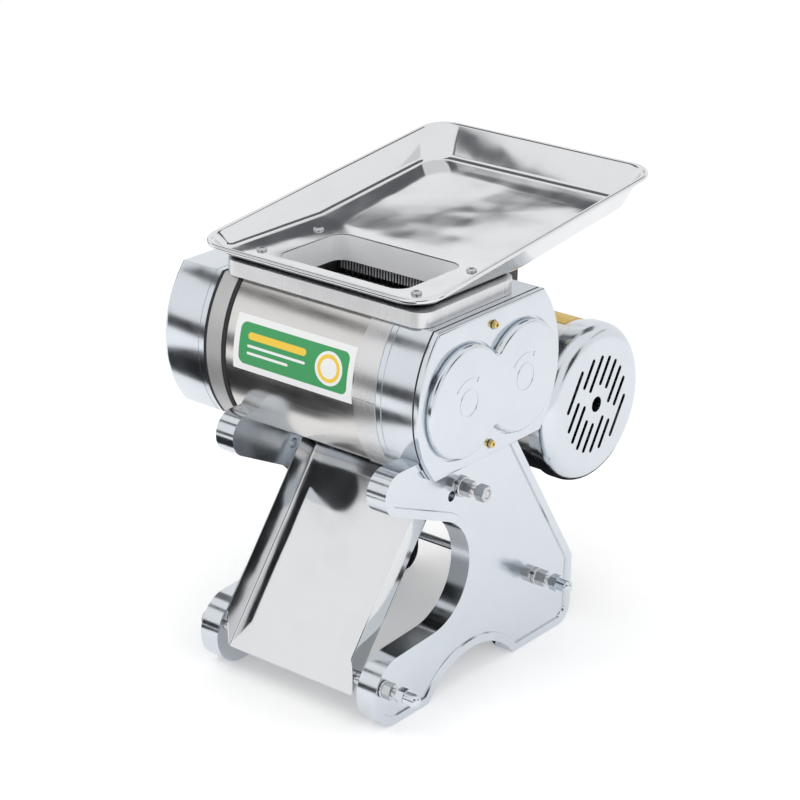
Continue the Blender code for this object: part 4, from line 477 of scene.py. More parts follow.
def block(lowest, highest):
    shape = bmesh.new()
    lowest, highest = Vector(lowest), Vector(highest)
    scale = Matrix.Diagonal((*(highest - lowest), 1.0))
    bmesh.ops.create_cube(shape, size=1.0, matrix=Matrix.Translation((lowest + highest) / 2) @ scale)
    return shape


def rounded_block(lowest, highest, corner, segments=8):
    """A block whose upright edges are rounded."""
    shape = block(lowest, highest)
    upright = [e for e in shape.edges if abs((e.verts[0].co - e.verts[1].co).normalized().z) > 0.9]
    bevel(shape, upright, corner, segments)
    return shape


def turned(profile, y, z, steps=96):
    """Spins (x, radius) points about an axis along X into a closed solid."""
    shape = bmesh.new()
    last = shape.verts.new((profile[0][0], y + profile[0][1], z))
    for x, radius in profile[1:]:
        last = extend(shape, last, (x, y + radius, z))
    bmesh.ops.spin(shape, geom=shape.verts[:] + shape.edges[:], cent=(0, y, z), axis=(1, 0, 0),
                   angle=math.tau, steps=steps, use_merge=True)
    bmesh.ops.remove_doubles(shape, verts=shape.verts, dist=TOUCH)
    bmesh.ops.dissolve_degenerate(shape, dist=TOUCH / 10, edges=shape.edges)
    bmesh.ops.recalc_face_normals(shape, faces=shape.faces)
    return shape


def together(*shapes):
    whole = bmesh.new()
    mesh = bpy.data.meshes.new("step")
    for shape in shapes:
        shape.to_mesh(mesh)
        shape.free()
        whole.from_mesh(mesh)
    bpy.data.meshes.remove(mesh)
    return whole


def held(shape, name="step"):
    """An object at the origin that holds a shape."""
    mesh = bpy.data.meshes.new(name)
    shape.to_mesh(mesh)
    shape.free()
    holder = bpy.data.objects.new(name, mesh)
    bpy.context.scene.collection.objects.link(holder)
    return holder


def drop(holder):
    mesh = holder.data
    bpy.data.objects.remove(holder)
    bpy.data.meshes.remove(mesh)


def modified(shape, kind, **values):
    """The shape that one modifier makes of a shape."""
    holder = held(shape)
    step = holder.modifiers.new("step", kind)
    for name, value in values.items():
        setattr(step, name, value)
    result = bmesh.new()
    result.from_object(holder, bpy.context.evaluated_depsgraph_get())
    drop(holder)
    return result


def combine(shape, tool, operation="DIFFERENCE"):
    """Cuts one closed shape out of another, joins the two or keeps what they share."""
    other = held(tool)
    result = modified(shape, "BOOLEAN", operation=operation, solver="EXACT", object=other)
    drop(other)
    return result


def piece(name, shape, key, replaces=(), body="machine", crease=35.0, edge=(), label=None):
    """A closed piece with its finish, the solids it stands for, its body and its softened edges."""
    bmesh.ops.remove_doubles(shape, verts=shape.verts, dist=TOUCH / 5)
    bmesh.ops.dissolve_degenerate(shape, dist=TOUCH / 5, edges=shape.edges)
    if not shape.faces or any(len(edge.link_faces) != 2 for edge in shape.edges):
        raise RuntimeError(f"{name} isn't closed")
    made = held(shape, name)
    made.data.shade_smooth()
    made.data.set_sharp_from_angle(angle=math.radians(crease))
    made.data.materials.append(label or finish(key))
    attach(made, body)
    if replaces:
        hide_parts(*replaces)
    if edge:
        soften(made, *edge)
    return made


def soften(made, width, segments=3, limit=35.0):
    """Rounds a piece's sharp edges with a Bevel modifier."""
    step = made.modifiers.new("edges", "BEVEL")
    step.width = width
    step.segments = segments
    step.limit_method = "ANGLE"
    step.angle_limit = math.radians(limit)
    step.use_clamp_overlap = True
    step.harden_normals = True


# Finishes


def node(tree, kind, levels=None, **values):
    """A node with its settings and the levels of its inputs."""
    made = tree.nodes.new("ShaderNode" + kind)
    for name, value in values.items():
        setattr(made, name, value)
    for name, value in (levels or {}).items():
        made.inputs[name].default_value = value
    return made


def join(tree, *links):
    """Links sockets: from a node's output to a node's input, each by name or number."""
    for start, output, end, entry in links:
        tree.links.new(start.outputs[output], end.inputs[entry])


def node_group(name, takes, gives):
    """A group with its sockets, and its two end nodes."""
    tree = bpy.data.node_groups.new(name, "ShaderNodeTree")
    for way, rows in (("INPUT", takes), ("OUTPUT", gives)):
        for label, kind, *value in rows:
            made = tree.interface.new_socket(name=label, in_out=way, socket_type="NodeSocket" + kind)
            if value:
                made.default_value = value[0]
    return tree, tree.nodes.new("NodeGroupInput"), tree.nodes.new("NodeGroupOutput")


def grain_group():
    """Fine drawn or cast grain: varies a colour and a roughness, and puts out a bumped normal."""
    tree, take, give = node_group(
        "Grain", [("Colour", "Color", (0.8, 0.8, 0.8, 1.0)), ("Variation", "Float", 0.1),
                  ("Roughness", "Float", 0.3), ("Spread", "Float", 0.1),
                  ("Stretch", "Vector", (100.0, 100.0, 100.0)), ("Relief", "Float", 0.1)],
        [("Colour", "Color"), ("Roughness", "Float"), ("Normal", "Vector")])
    place = node(tree, "TexCoord")
    stretch = node(tree, "VectorMath", operation="MULTIPLY")
    noise = node(tree, "TexNoise", {"Scale": 1.0, "Detail": 4.0})
    centred = node(tree, "Math", {1: 0.5}, operation="SUBTRACT")
    shade = node(tree, "Math", {2: 1.0}, operation="MULTIPLY_ADD")
    tint = node(tree, "VectorMath", operation="SCALE")
    rough = node(tree, "Math", operation="MULTIPLY_ADD", use_clamp=True)
    bump = node(tree, "Bump", {"Distance": 0.0004})
    join(tree, (place, "Object", stretch, 0), (take, "Stretch", stretch, 1),
         (stretch, "Vector", noise, "Vector"), (noise, "Fac", centred, 0), (centred, "Value", shade, 0),
         (take, "Variation", shade, 1), (take, "Colour", tint, 0), (shade, "Value", tint, "Scale"),
         (centred, "Value", rough, 0), (take, "Spread", rough, 1), (take, "Roughness", rough, 2),
         (take, "Relief", bump, "Strength"), (noise, "Fac", bump, "Height"), (tint, "Vector", give, "Colour"),
         (rough, "Value", give, "Roughness"), (bump, "Normal", give, "Normal"))
    return tree


def wear_group():
    """Broad soft patches, as handling leaves them, that dull a finish and darken it a little."""
    tree, take, give = node_group(
        "Wear", [("Colour", "Color", (0.8, 0.8, 0.8, 1.0)), ("Roughness", "Float", 0.3),
                 ("Amount", "Float", 0.1)], [("Colour", "Color"), ("Roughness", "Float")])
    place = node(tree, "TexCoord")
    noise = node(tree, "TexNoise", {"Scale": 22.0, "Detail": 5.0})
    patch = node(tree, "MapRange", {"From Min": 0.45, "From Max": 0.70})
    amount = node(tree, "Math", operation="MULTIPLY")
    dull = node(tree, "Math", operation="ADD", use_clamp=True)
    darker = node(tree, "Math", {1: -0.5, 2: 1.0}, operation="MULTIPLY_ADD")
    tint = node(tree, "VectorMath", operation="SCALE")
    join(tree, (place, "Object", noise, "Vector"), (noise, "Fac", patch, "Value"),
         (patch, "Result", amount, 0), (take, "Amount", amount, 1), (amount, "Value", dull, 0),
         (take, "Roughness", dull, 1), (amount, "Value", darker, 0), (take, "Colour", tint, 0),
         (darker, "Value", tint, "Scale"), (tint, "Vector", give, "Colour"),
         (dull, "Value", give, "Roughness"))
    return tree


def field_group():
    """A rounded rectangle on a label, as a soft-edged mask."""
    tree, take, give = node_group(
        "Rounded field", [("Middle", "Vector", (0.5, 0.5, 0.0)), ("Half size", "Vector", (0.2, 0.1, 1.0)),
                          ("Corner", "Float", 0.02)], [("Mask", "Float")])
    place = node(tree, "TexCoord")
    away, size, beyond, grow, outside, reach = (node(tree, "VectorMath", operation=kind) for kind in (
        "SUBTRACT", "ABSOLUTE", "SUBTRACT", "ADD", "MAXIMUM", "LENGTH"))
    edge = node(tree, "Math", operation="SUBTRACT")
    mask = node(tree, "MapRange", {"From Min": 0.0015, "From Max": -0.0015})
    join(tree, (place, "UV", away, 0), (take, "Middle", away, 1), (away, "Vector", size, 0),
         (size, "Vector", beyond, 0), (take, "Half size", beyond, 1), (beyond, "Vector", grow, 0),
         (take, "Corner", grow, 1), (grow, "Vector", outside, 0), (outside, "Vector", reach, 0),
         (reach, "Value", edge, 0), (take, "Corner", edge, 1), (edge, "Value", mask, "Value"),
         (mask, "Result", give, "Mask"))
    return tree


def shared(name, maker):
    return bpy.data.node_groups.get(name) or maker()


# Each finish: label, slot, tint, metallic, roughness, stretch, variation, spread and relief.
# The first one of a slot is also what the solids inside the machine get.
FINISHES = {
    "casting": ("Bright casting", "cast_chrome", "casting", 1.0, 0.16, (70, 70, 70), 0.05, 0.10, 0.05),
    "polished": ("Polished sheet", "mirror_steel", "polished", 1.0, 0.08, (60, 12, 60), 0.05, 0.06, 0.03),
    "satin": ("Satin sheet", "mirror_steel", "cover", 1.0, 0.20, (25, 400, 400), 0.06, 0.10, 0.03),
    "label": ("Label", "mirror_steel", "label_white", 0.0, 0.38, (900, 900, 900), 0.03, 0.06, 0.02),
    "milled": ("Milled aluminium", "brushed_aluminium", "machined", 1.0, 0.28, (900, 900, 8), 0.30, 0.20,
               0.25),
    "turned": ("Turned aluminium", "brushed_aluminium", "machined", 1.0, 0.26, (300, 30, 30), 0.03, 0.04,
               0.01),
    "sand_cast": ("Sand-cast aluminium", "brushed_aluminium", "matt_cast", 1.0, 0.46, (500, 500, 500), 0.16,
                  0.12, 0.30),
    "steel": ("Bright steel", "steel", "steel", 1.0, 0.22, (600, 80, 80), 0.10, 0.10, 0.05),
    "throat": ("Smooth throat", "steel", "throat", 0.0, 0.36, (60, 60, 200), 0.04, 0.06, 0.02),
    "ground": ("Ground steel", "blade_steel", "blade", 1.0, 0.16, (200, 700, 700), 0.08, 0.08, 0.05),
    "brass": ("Brass", "brass", "brass", 1.0, 0.24, (500, 500, 500), 0.12, 0.10, 0.06),
    "rubber": ("Black rubber", "black_rubber", "black", 0.0, 0.62, (900, 900, 900), 0.30, 0.14, 0.10),
    "plastic": ("Black plastic", "black_plastic", "black", 0.0, 0.36, (1400, 1400, 1400), 0.30, 0.12, 0.20),
    "grey": ("Grey plastic", "grey_plastic", "grey", 0.0, 0.40, (1400, 1400, 1400), 0.20, 0.12, 0.15),
    "winding": ("Copper winding", "copper", "copper", 1.0, 0.35, (60, 1600, 1600), 0.40, 0.20, 0.60),
}
WEAR, OTHER_WEAR = 0.04, {"brass": 0.08, "label": 0.02}
SWAY = {"polished": 0.07}  # how much the sheet waves


def finish(key, name=None, tint=None):
    """A material whose colour, roughness and relief vary with the shared grain and wear."""
    label, _, field, metallic, roughness, stretch, variation, spread, relief = FINISHES[key]
    name, tint = name or label, tint or getattr(sizes("finishes"), field)
    if name in bpy.data.materials:
        return bpy.data.materials[name]
    made = bpy.data.materials.new(name)
    made.use_nodes = True
    tree = made.node_tree
    shader = tree.nodes["Principled BSDF"]
    shader.inputs["Metallic"].default_value = metallic
    grain = node(tree, "Group", node_tree=shared("Grain", grain_group))
    for entry, value in (("Colour", (*tint, 1.0)), ("Variation", variation), ("Roughness", roughness),
                         ("Spread", spread), ("Stretch", stretch), ("Relief", relief)):
        grain.inputs[entry].default_value = value
    worn = node(tree, "Group", node_tree=shared("Wear", wear_group))
    worn.inputs["Amount"].default_value = OTHER_WEAR.get(key, WEAR)
    join(tree, (grain, "Colour", worn, "Colour"), (grain, "Roughness", worn, "Roughness"),
         (worn, "Colour", shader, "Base Color"), (worn, "Roughness", shader, "Roughness"),
         (grain, "Normal", shader, "Normal"))
    if key in SWAY:
        place = node(tree, "TexCoord")
        wave = node(tree, "TexNoise", {"Scale": 16.0, "Detail": 1.0})
        bend = node(tree, "Bump", {"Strength": SWAY[key], "Distance": 0.01})
        join(tree, (place, "Object", wave, "Vector"), (wave, "Fac", bend, "Height"),
             (grain, "Normal", bend, "Normal"), (bend, "Normal", shader, "Normal"))
    return made


def label_finish(name, ground_tint, fields):
    """A printed label: each field is laid over the ones before it."""
    if name in bpy.data.materials:
        return bpy.data.materials[name]
    made = finish("label", name, ground_tint)
    tree = made.node_tree
    shader = tree.nodes["Principled BSDF"]
    last = shader.inputs["Base Color"].links[0].from_socket
    for middle, half, corner, tint in fields:
        field = node(tree, "Group", node_tree=shared("Rounded field", field_group))
        field.inputs["Middle"].default_value = (*middle, 0.0)
        field.inputs["Half size"].default_value = (*half, 1.0)
        field.inputs["Corner"].default_value = corner
        over = node(tree, "Mix", data_type="RGBA")
        over.inputs["B"].default_value = (*tint, 1.0)
        tree.links.new(field.outputs["Mask"], over.inputs["Factor"])
        tree.links.new(last, over.inputs["A"])
        last = over.outputs["Result"]
    tree.links.new(last, shader.inputs["Base Color"])
    return made


# Body


def lobed(x_low, x_high, inset=0.0, edge=0.0):
    """The body's section joined with the rear lobe that reaches the motor's axis."""
    body = sizes("body")
    lay, motor = AXES["layshaft_spin"], AXES["motor_spin"]
    big, small = body.lobe_radius - inset, body.reach_radius - inset
    away = motor - lay
    along = math.atan2(away.z, away.y)
    lean = math.acos((big - small) / math.hypot(away.y, away.z))
    start = along + lean
    outline = Outline(x_low, lay.y + big * math.cos(start), lay.z + big * math.sin(start))
    outline.arc(lay.y, lay.z, math.tau - 2 * lean)
    outline.line(motor.y + small * math.cos(along - lean), motor.z + small * math.sin(along - lean))
    outline.arc(motor.y, motor.z, 2 * lean)
    lobe = outline.plate(x_high - x_low - body.lobe_step)
    bmesh.ops.translate(lobe, vec=(body.lobe_step / 2, 0, 0), verts=lobe.verts)
    main = section(x_low, x_high, inset)
    if edge:
        round_edges(main, around_face(x_low), edge, 6)
        round_edges(lobe, around_face(x_low + body.lobe_step / 2), edge, 6)
    return combine(main, lobe, "UNION")


def grooved(maker, x_low, x_high, groove_x, **values):
    """A slice of the body with one thin groove turned round it."""
    body = sizes("body")
    half = body.groove / 2
    shape = together(maker(x_low, groove_x - half, **values), maker(groove_x + half, x_high))
    core = maker(groove_x - 3 * half, groove_x + 3 * half, inset=body.groove)
    return combine(shape, core, "UNION")


def shaft_bores(x_low, x_high, radius):
    return together(*(rod(x_low, x_high, radius, AXES[f"{side}_knife_spin"].y, AXES[f"{side}_knife_spin"].z)
                      for side in ("front", "rear")))


def side_sheet(x_low, x_high, inset, thickness, rear=False, top_flange=0.0):
    """One folded cover: its round side and two flanges, as a closed sheet."""
    body = sizes("body")
    radius = body.radius - inset
    bottom, top = low("gear_housing").z, high("gear_housing").z
    foot = math.asin((bottom - body.centre_z) / radius)
    head = math.asin((top - body.centre_z) / radius)
    way = 1 if rear else -1
    flange = body.cover_flange
    front_y = body.centre_y + way * radius * math.cos(foot)
    head_y = body.centre_y + way * radius * math.cos(head)
    outline = Outline(x_low, front_y - way * flange, bottom)
    outline.line(front_y, bottom)
    outline.arc(body.centre_y, body.centre_z, way * (head - foot), math.radians(1.5))
    outline.line(head_y - way * (top_flange or flange), top)
    shape = outline.shape
    pull(shape, x_high - x_low)
    folds = [e for e in shape.edges if len(e.link_faces) == 2 and e.calc_face_angle() > FOLD]
    bevel(shape, folds, body.edge, 5)
    side = max(shape.faces, key=lambda face: way * face.calc_center_median().y)
    if side.normal.y * way < 0:
        bmesh.ops.reverse_faces(shape, faces=shape.faces)
    return modified(shape, "SOLIDIFY", thickness=thickness, offset=-1.0, use_even_offset=True)


def wrapped_patch(x_low, x_high, axis, radius, start, turn, thickness):
    """A thin curved patch round an axis, with its length and width laid out for a printed pattern."""
    shape = bmesh.new()
    y = axis[0] + radius * math.cos(start)
    first = shape.verts.new((x_low, y, axis[1] + radius * math.sin(start)))
    bmesh.ops.spin(shape, geom=[first], cent=(x_low, *axis), axis=(1, 0, 0), angle=turn, steps=48)
    pull(shape, x_high - x_low)
    layout = shape.loops.layers.uv.new("Label")
    span = x_high - x_low
    for face in shape.faces:
        for loop in face.loops:
            y, z = loop.vert.co.y - axis[0], loop.vert.co.z - axis[1]
            round_by = (math.atan2(z, y) - start) % math.tau
            if round_by > math.pi:
                round_by -= math.tau
            along = (loop.vert.co.x - x_low) / span
            loop[layout].uv = (along, radius * (turn - round_by) / span)
    middle = shape.faces[:][0]
    outward = middle.calc_center_median() - Vector((middle.calc_center_median().x, *axis))
    if middle.normal.dot(outward) < 0:
        bmesh.ops.reverse_faces(shape, faces=shape.faces)
    return modified(shape, "SOLIDIFY", thickness=thickness, offset=1.0)


class CUTTER_OT_gearbox(bpy.types.Operator):
    """Build the gearbox housing, its seal and the left frame plate"""

    bl_idname = "cutter.gearbox"
    bl_label = "Gearbox"

    def execute(self, context):
        body = sizes("body")
        left, right, wall = body.gearbox_left_x, high("gearbox_housing").x, body.wall
        housing = grooved(lobed, left, right, right - body.groove_place, edge=body.end_edge)
        housing = combine(housing, lobed(left + wall, right + wall, inset=wall))
        lay, motor = AXES["layshaft_spin"], AXES["motor_spin"]
        boss_end = left + wall + body.boss_length
        boss = combine(rod(left + wall / 2, boss_end, body.boss_radius, lay.y, lay.z),
                       rod(left + wall, boss_end + wall, body.boss_bore, lay.y, lay.z))
        housing = combine(housing, boss, "UNION")
        end = low("gearbox_housing").x
        cap = rod(end, left + wall / 2, body.cap_radius, body.centre_y, body.centre_z, 96)
        round_edges(cap, around_face(end), body.cap_length / 2, 6)
        piece("gearbox_cap", cap, "casting")
        piece("gearbox", housing, "casting", ["gearbox_housing"], edge=(body.groove / 2, 2))

        seal = combine(lobed(*ends("gearbox_gasket"), inset=body.groove / 2),
                       lobed(low("gearbox_gasket").x - wall, high("gearbox_gasket").x + wall, inset=wall))
        piece("gearbox_seal", seal, "rubber", ["gearbox_gasket"])

        low_x, high_x = ends("left_frame_plate")
        seat = low_x + body.bearing_width
        bores = together(rod(low_x - wall, high_x + wall, body.lay_bore, lay.y, lay.z),
                         rod(low_x - wall, high_x + wall, body.motor_bore, motor.y, motor.z))
        plate = combine(lobed(low_x, high_x), bores)
        plate = combine(plate, shaft_bores(low_x - wall, seat, body.bearing_bore))
        plate = combine(plate, shaft_bores(low_x - wall, high_x + wall, body.shaft_bore))
        piece("left_plate", plate, "sand_cast", ["left_frame_plate"], edge=(body.edge / 2,))
        return {"FINISHED"}


class CUTTER_OT_covers(bpy.types.Operator):
    """Build the folded covers round the knives, the dark seal beside them and the label"""

    bl_idname = "cutter.covers"
    bl_label = "Knife covers"

    def execute(self, context):
        body, label, tints = sizes("body"), sizes("label"), sizes("finishes")
        x_low, x_high = ends("front_cover")
        split = x_low + body.cover_gap
        for side, rear, flange in (("front", False, 0.0), ("rear", True, body.rear_flange)):
            sheet = side_sheet(split, x_high, body.cover_inset, body.sheet, rear, flange)
            piece(f"{side}_knife_cover", sheet, "satin", [f"{side}_cover"], crease=40)
            seal = side_sheet(x_low, split - body.groove / 4, body.groove, body.seal_depth, rear, flange)
            piece(f"{side}_cover_seal", seal, "rubber")
        axis = (body.centre_y, body.centre_z)
        white, green, yellow = tints.label_white, tints.label_green, tints.label_yellow
        fields = [
            ((0.50, 0.185), (0.455, 0.140), 0.048, green),
            ((0.80, 0.185), (0.112, 0.112), 0.112, white),
            ((0.80, 0.185), (0.092, 0.092), 0.092, yellow),
            ((0.80, 0.185), (0.066, 0.066), 0.066, white),
            ((0.36, 0.240), (0.245, 0.024), 0.024, yellow),
            ((0.36, 0.172), (0.245, 0.009), 0.009, white),
            ((0.29, 0.124), (0.175, 0.009), 0.009, white),
        ]
        radius = body.radius - body.cover_inset
        patch = wrapped_patch(label.low_x, label.high_x, axis, radius, label.start, label.turn, label.lift)
        piece("cover_label", patch, "label", label=label_finish("Cover label", white, fields))
        return {"FINISHED"}


class CUTTER_OT_right_frame(bpy.types.Operator):
    """Build the right frame plate and the timing gears' housing"""

    bl_idname = "cutter.right_frame"
    bl_label = "Right frame plate"

    def execute(self, context):
        body = sizes("body")
        wall = body.wall
        low_x, high_x = ends("right_frame_plate")
        plate = combine(section(low_x, high_x), shaft_bores(high_x - body.bearing_width, high_x + wall,
                                                            body.bearing_bore))
        plate = combine(plate, shaft_bores(low_x - wall, high_x + wall, body.shaft_bore))
        front = body.centre_y - body.radius
        cut = block((low_x - wall, front - wall, body.centre_z - body.groove / 2),
                    (high_x + wall, front + 2 * body.groove, body.centre_z + body.groove / 2))
        piece("right_plate", combine(plate, cut), "turned", ["right_frame_plate"], edge=(body.edge / 3,))

        low_x, high_x = ends("gear_housing")
        housing = grooved(section, low_x, high_x, low_x + body.groove_place)
        housing = combine(housing, figure_eight(low_x - wall, high_x + wall, body.timing_cavity,
                                                sizes("gear_cover").cavity_waist))
        housing = screw_holes(housing, (low_x - wall, high_x + wall, body.screw_bore, 48))
        piece("gear_casing", housing, "casting", ["gear_housing"], edge=(body.groove / 2, 2))
        return {"FINISHED"}


# Gear cover


def screw_heights():
    return [centre(f"{place}_gear_cover_screw").z for place in ("lower", "upper")]


def screw_holes(shape, *holes):
    """Cuts round holes, each given by its ends, radius and sides, at each of the gear cover's screws."""
    for z in screw_heights():
        for x_low, x_high, radius, segments in holes:
            shape = combine(shape, rod(x_low, x_high, radius, sizes("body").centre_y, z, segments))
    return shape


def figure_eight(x_low, x_high, radius, waist, edge=0.0):
    """Two circles on the knife shafts, joined by round waists."""
    front, rear = AXES["front_knife_spin"], AXES["rear_knife_spin"]
    half = (rear.y - front.y) / 2
    middle = (rear.y + front.y) / 2
    height = math.sqrt((radius + waist) ** 2 - half ** 2)
    lean = math.atan2(height, half)
    outline = Outline(x_low, rear.y - radius * math.cos(lean), rear.z - radius * math.sin(lean))
    outline.arc(rear.y, rear.z, math.tau - 2 * lean)
    outline.arc(middle, rear.z + height, 2 * lean - math.pi)
    outline.arc(front.y, front.z, math.tau - 2 * lean)
    outline.arc(middle, front.z - height, 2 * lean - math.pi)
    shape = outline.plate(x_high - x_low)
    if edge:
        round_edges(shape, around_face(x_high), edge, 6)
    return shape


def raised_ring(x_low, x_high, axis, radius, width):
    inner, outer = radius - width / 2, radius + width / 2
    return turned([(x_low, inner), (x_low, outer), (x_high, outer), (x_high, inner), (x_low, inner)],
                  axis.y, axis.z, 72)


def raised_arrow(x_low, x_high, axis, radius, width):
    """A flat arc over a shaft with an arrow head towards the rear."""
    begin, end = ARROW_ENDS

    def spot(reach, turn):
        return axis.y + reach * math.cos(turn), axis.z + reach * math.sin(turn)

    outline = Outline(x_low, *spot(radius + width / 2, begin))
    outline.arc(axis.y, axis.z, end - begin)
    outline.line(*spot(radius + 3 * width, end))
    outline.line(*spot(radius, end - ARROW_TIP))
    outline.line(*spot(radius - 3 * width, end))
    outline.line(*spot(radius - width / 2, end))
    outline.arc(axis.y, axis.z, begin - end)
    return outline.plate(x_high - x_low)


class CUTTER_OT_gear_cover(bpy.types.Operator):
    """Build the timing gears' cover with its two bosses, marks and brass screws"""

    bl_idname = "cutter.gear_cover"
    bl_label = "Gear cover"

    def execute(self, context):
        body, cover = sizes("body"), sizes("gear_cover")
        low_x, top_x = ends("gear_cover")
        face_x = low_x + cover.thickness
        wall = body.wall
        plate = section(low_x, face_x)
        round_edges(plate, around_face(face_x), cover.edge, 5)
        moat = figure_eight(face_x - cover.gutter, top_x, cover.boss_radius + cover.gutter, cover.boss_waist)
        plate = combine(plate, moat)
        boss = figure_eight(low_x + cover.thickness / 2, top_x, cover.boss_radius, cover.boss_waist,
                            cover.boss_edge)
        plate = combine(plate, boss, "UNION")
        inside = figure_eight(low_x - wall, top_x - cover.boss_wall, body.timing_cavity, cover.cavity_waist)
        plate = combine(plate, inside)
        deep = cover.thickness / 3
        bore = (low_x - wall, top_x, body.screw_bore, 24)
        plate = screw_holes(plate, (face_x - deep, top_x, cover.recess_radius, 48), bore)
        piece("gear_cover_plate", plate, "casting", ["gear_cover"], edge=(body.groove / 2, 2))

        marks = []
        rise = cover.mark_width / 2
        for side in ("front", "rear"):
            axis = AXES[f"{side}_knife_spin"]
            marks.append(raised_ring(top_x - rise, top_x + rise, axis, cover.mark_radius, cover.mark_width))
            marks.append(raised_arrow(top_x - rise, top_x + rise, axis, cover.arrow_radius, cover.mark_width))
        piece("gear_cover_marks", together(*marks), "casting", edge=(rise / 2, 2))

        seal = section(*ends("gear_cover_gasket"), body.groove / 2)
        seal = combine(seal, figure_eight(low_x - wall, top_x, body.timing_cavity, cover.cavity_waist))
        seal = screw_holes(seal, bore)
        piece("gear_cover_seal", seal, "rubber", ["gear_cover_gasket"])

        for place, z in zip(("lower", "upper"), screw_heights()):
            name = f"{place}_gear_cover_screw"
            start, tip = ends(name)
            head = rod(face_x - deep + body.groove / 2, tip, cover.screw_radius, body.centre_y, z)
            round_edges(head, around_face(tip), cover.screw_radius / 3, 4)
            head = combine(head, rod(start, face_x, body.screw_shank, body.centre_y, z, 24), "UNION")
            socket = cover.screw_radius / 2
            head = combine(head, rod(tip - socket, tip + wall, socket, body.centre_y, z, 6))
            piece(f"{place}_cover_screw", head, "brass", [name])
        return {"FINISHED"}


# Tray, collar and their screws


def upright(shape, x, y):
    """Stands a shape that was turned about X up on the Z axis."""
    turn = Matrix.Translation((x, y, 0)) @ Matrix.Rotation(-math.pi / 2, 4, "Y")
    bmesh.ops.transform(shape, matrix=turn, verts=shape.verts)
    return shape


def throat_block(z_low, z_high, wall=0.0, right=None):
    tray = sizes("tray")
    high_x = tray.throat_high_x if right is None else right
    return rounded_block((tray.throat_low_x - wall, tray.throat_low_y - wall, z_low),
                         (high_x, tray.throat_high_y + wall, z_high), tray.throat_corner + wall)


class CUTTER_OT_collar(bpy.types.Operator):
    """Build the milled collar under the tray, with its spout"""

    bl_idname = "cutter.collar"
    bl_label = "Feed collar"

    def execute(self, context):
        tray = sizes("tray")
        lowest, highest = low("feed_collar"), high("feed_collar")
        bottom = lowest.z + tray.spout_drop
        frame_block = rounded_block((lowest.x, lowest.y, bottom), highest, tray.collar_corner)
        collar = combine(frame_block, throat_block(lowest.z, highest.z + tray.spout_drop))
        right, wall = high("front_cover").x, tray.spout_wall
        spout = throat_block(lowest.z, bottom + tray.spout_shelf, wall, right)
        spout = combine(spout, throat_block(lowest.z - wall, highest.z, 0.0, right - wall))
        collar = combine(collar, spout, "UNION")
        for name in TRAY_SCREWS:
            middle = centre(name)
            drill = rod(bottom - wall, highest.z + wall, tray.screw_shank, 0.0, 0.0, 24)
            collar = combine(collar, upright(drill, middle.x, middle.y))
        made = piece("collar", collar, "milled", ["feed_collar"], edge=(tray.collar_edge, 3))
        made.data.materials.append(finish("throat"))
        near = tray.collar_edge
        for face in made.data.polygons:
            inside = (tray.throat_low_x - near < face.center.x < tray.throat_high_x + near
                      and tray.throat_low_y - near < face.center.y < tray.throat_high_y + near)
            face.material_index = int(inside)
        return {"FINISHED"}


TRAY_SCREWS = ["back_left_tray_screw", "back_right_tray_screw", "front_left_tray_screw",
               "front_right_tray_screw"]


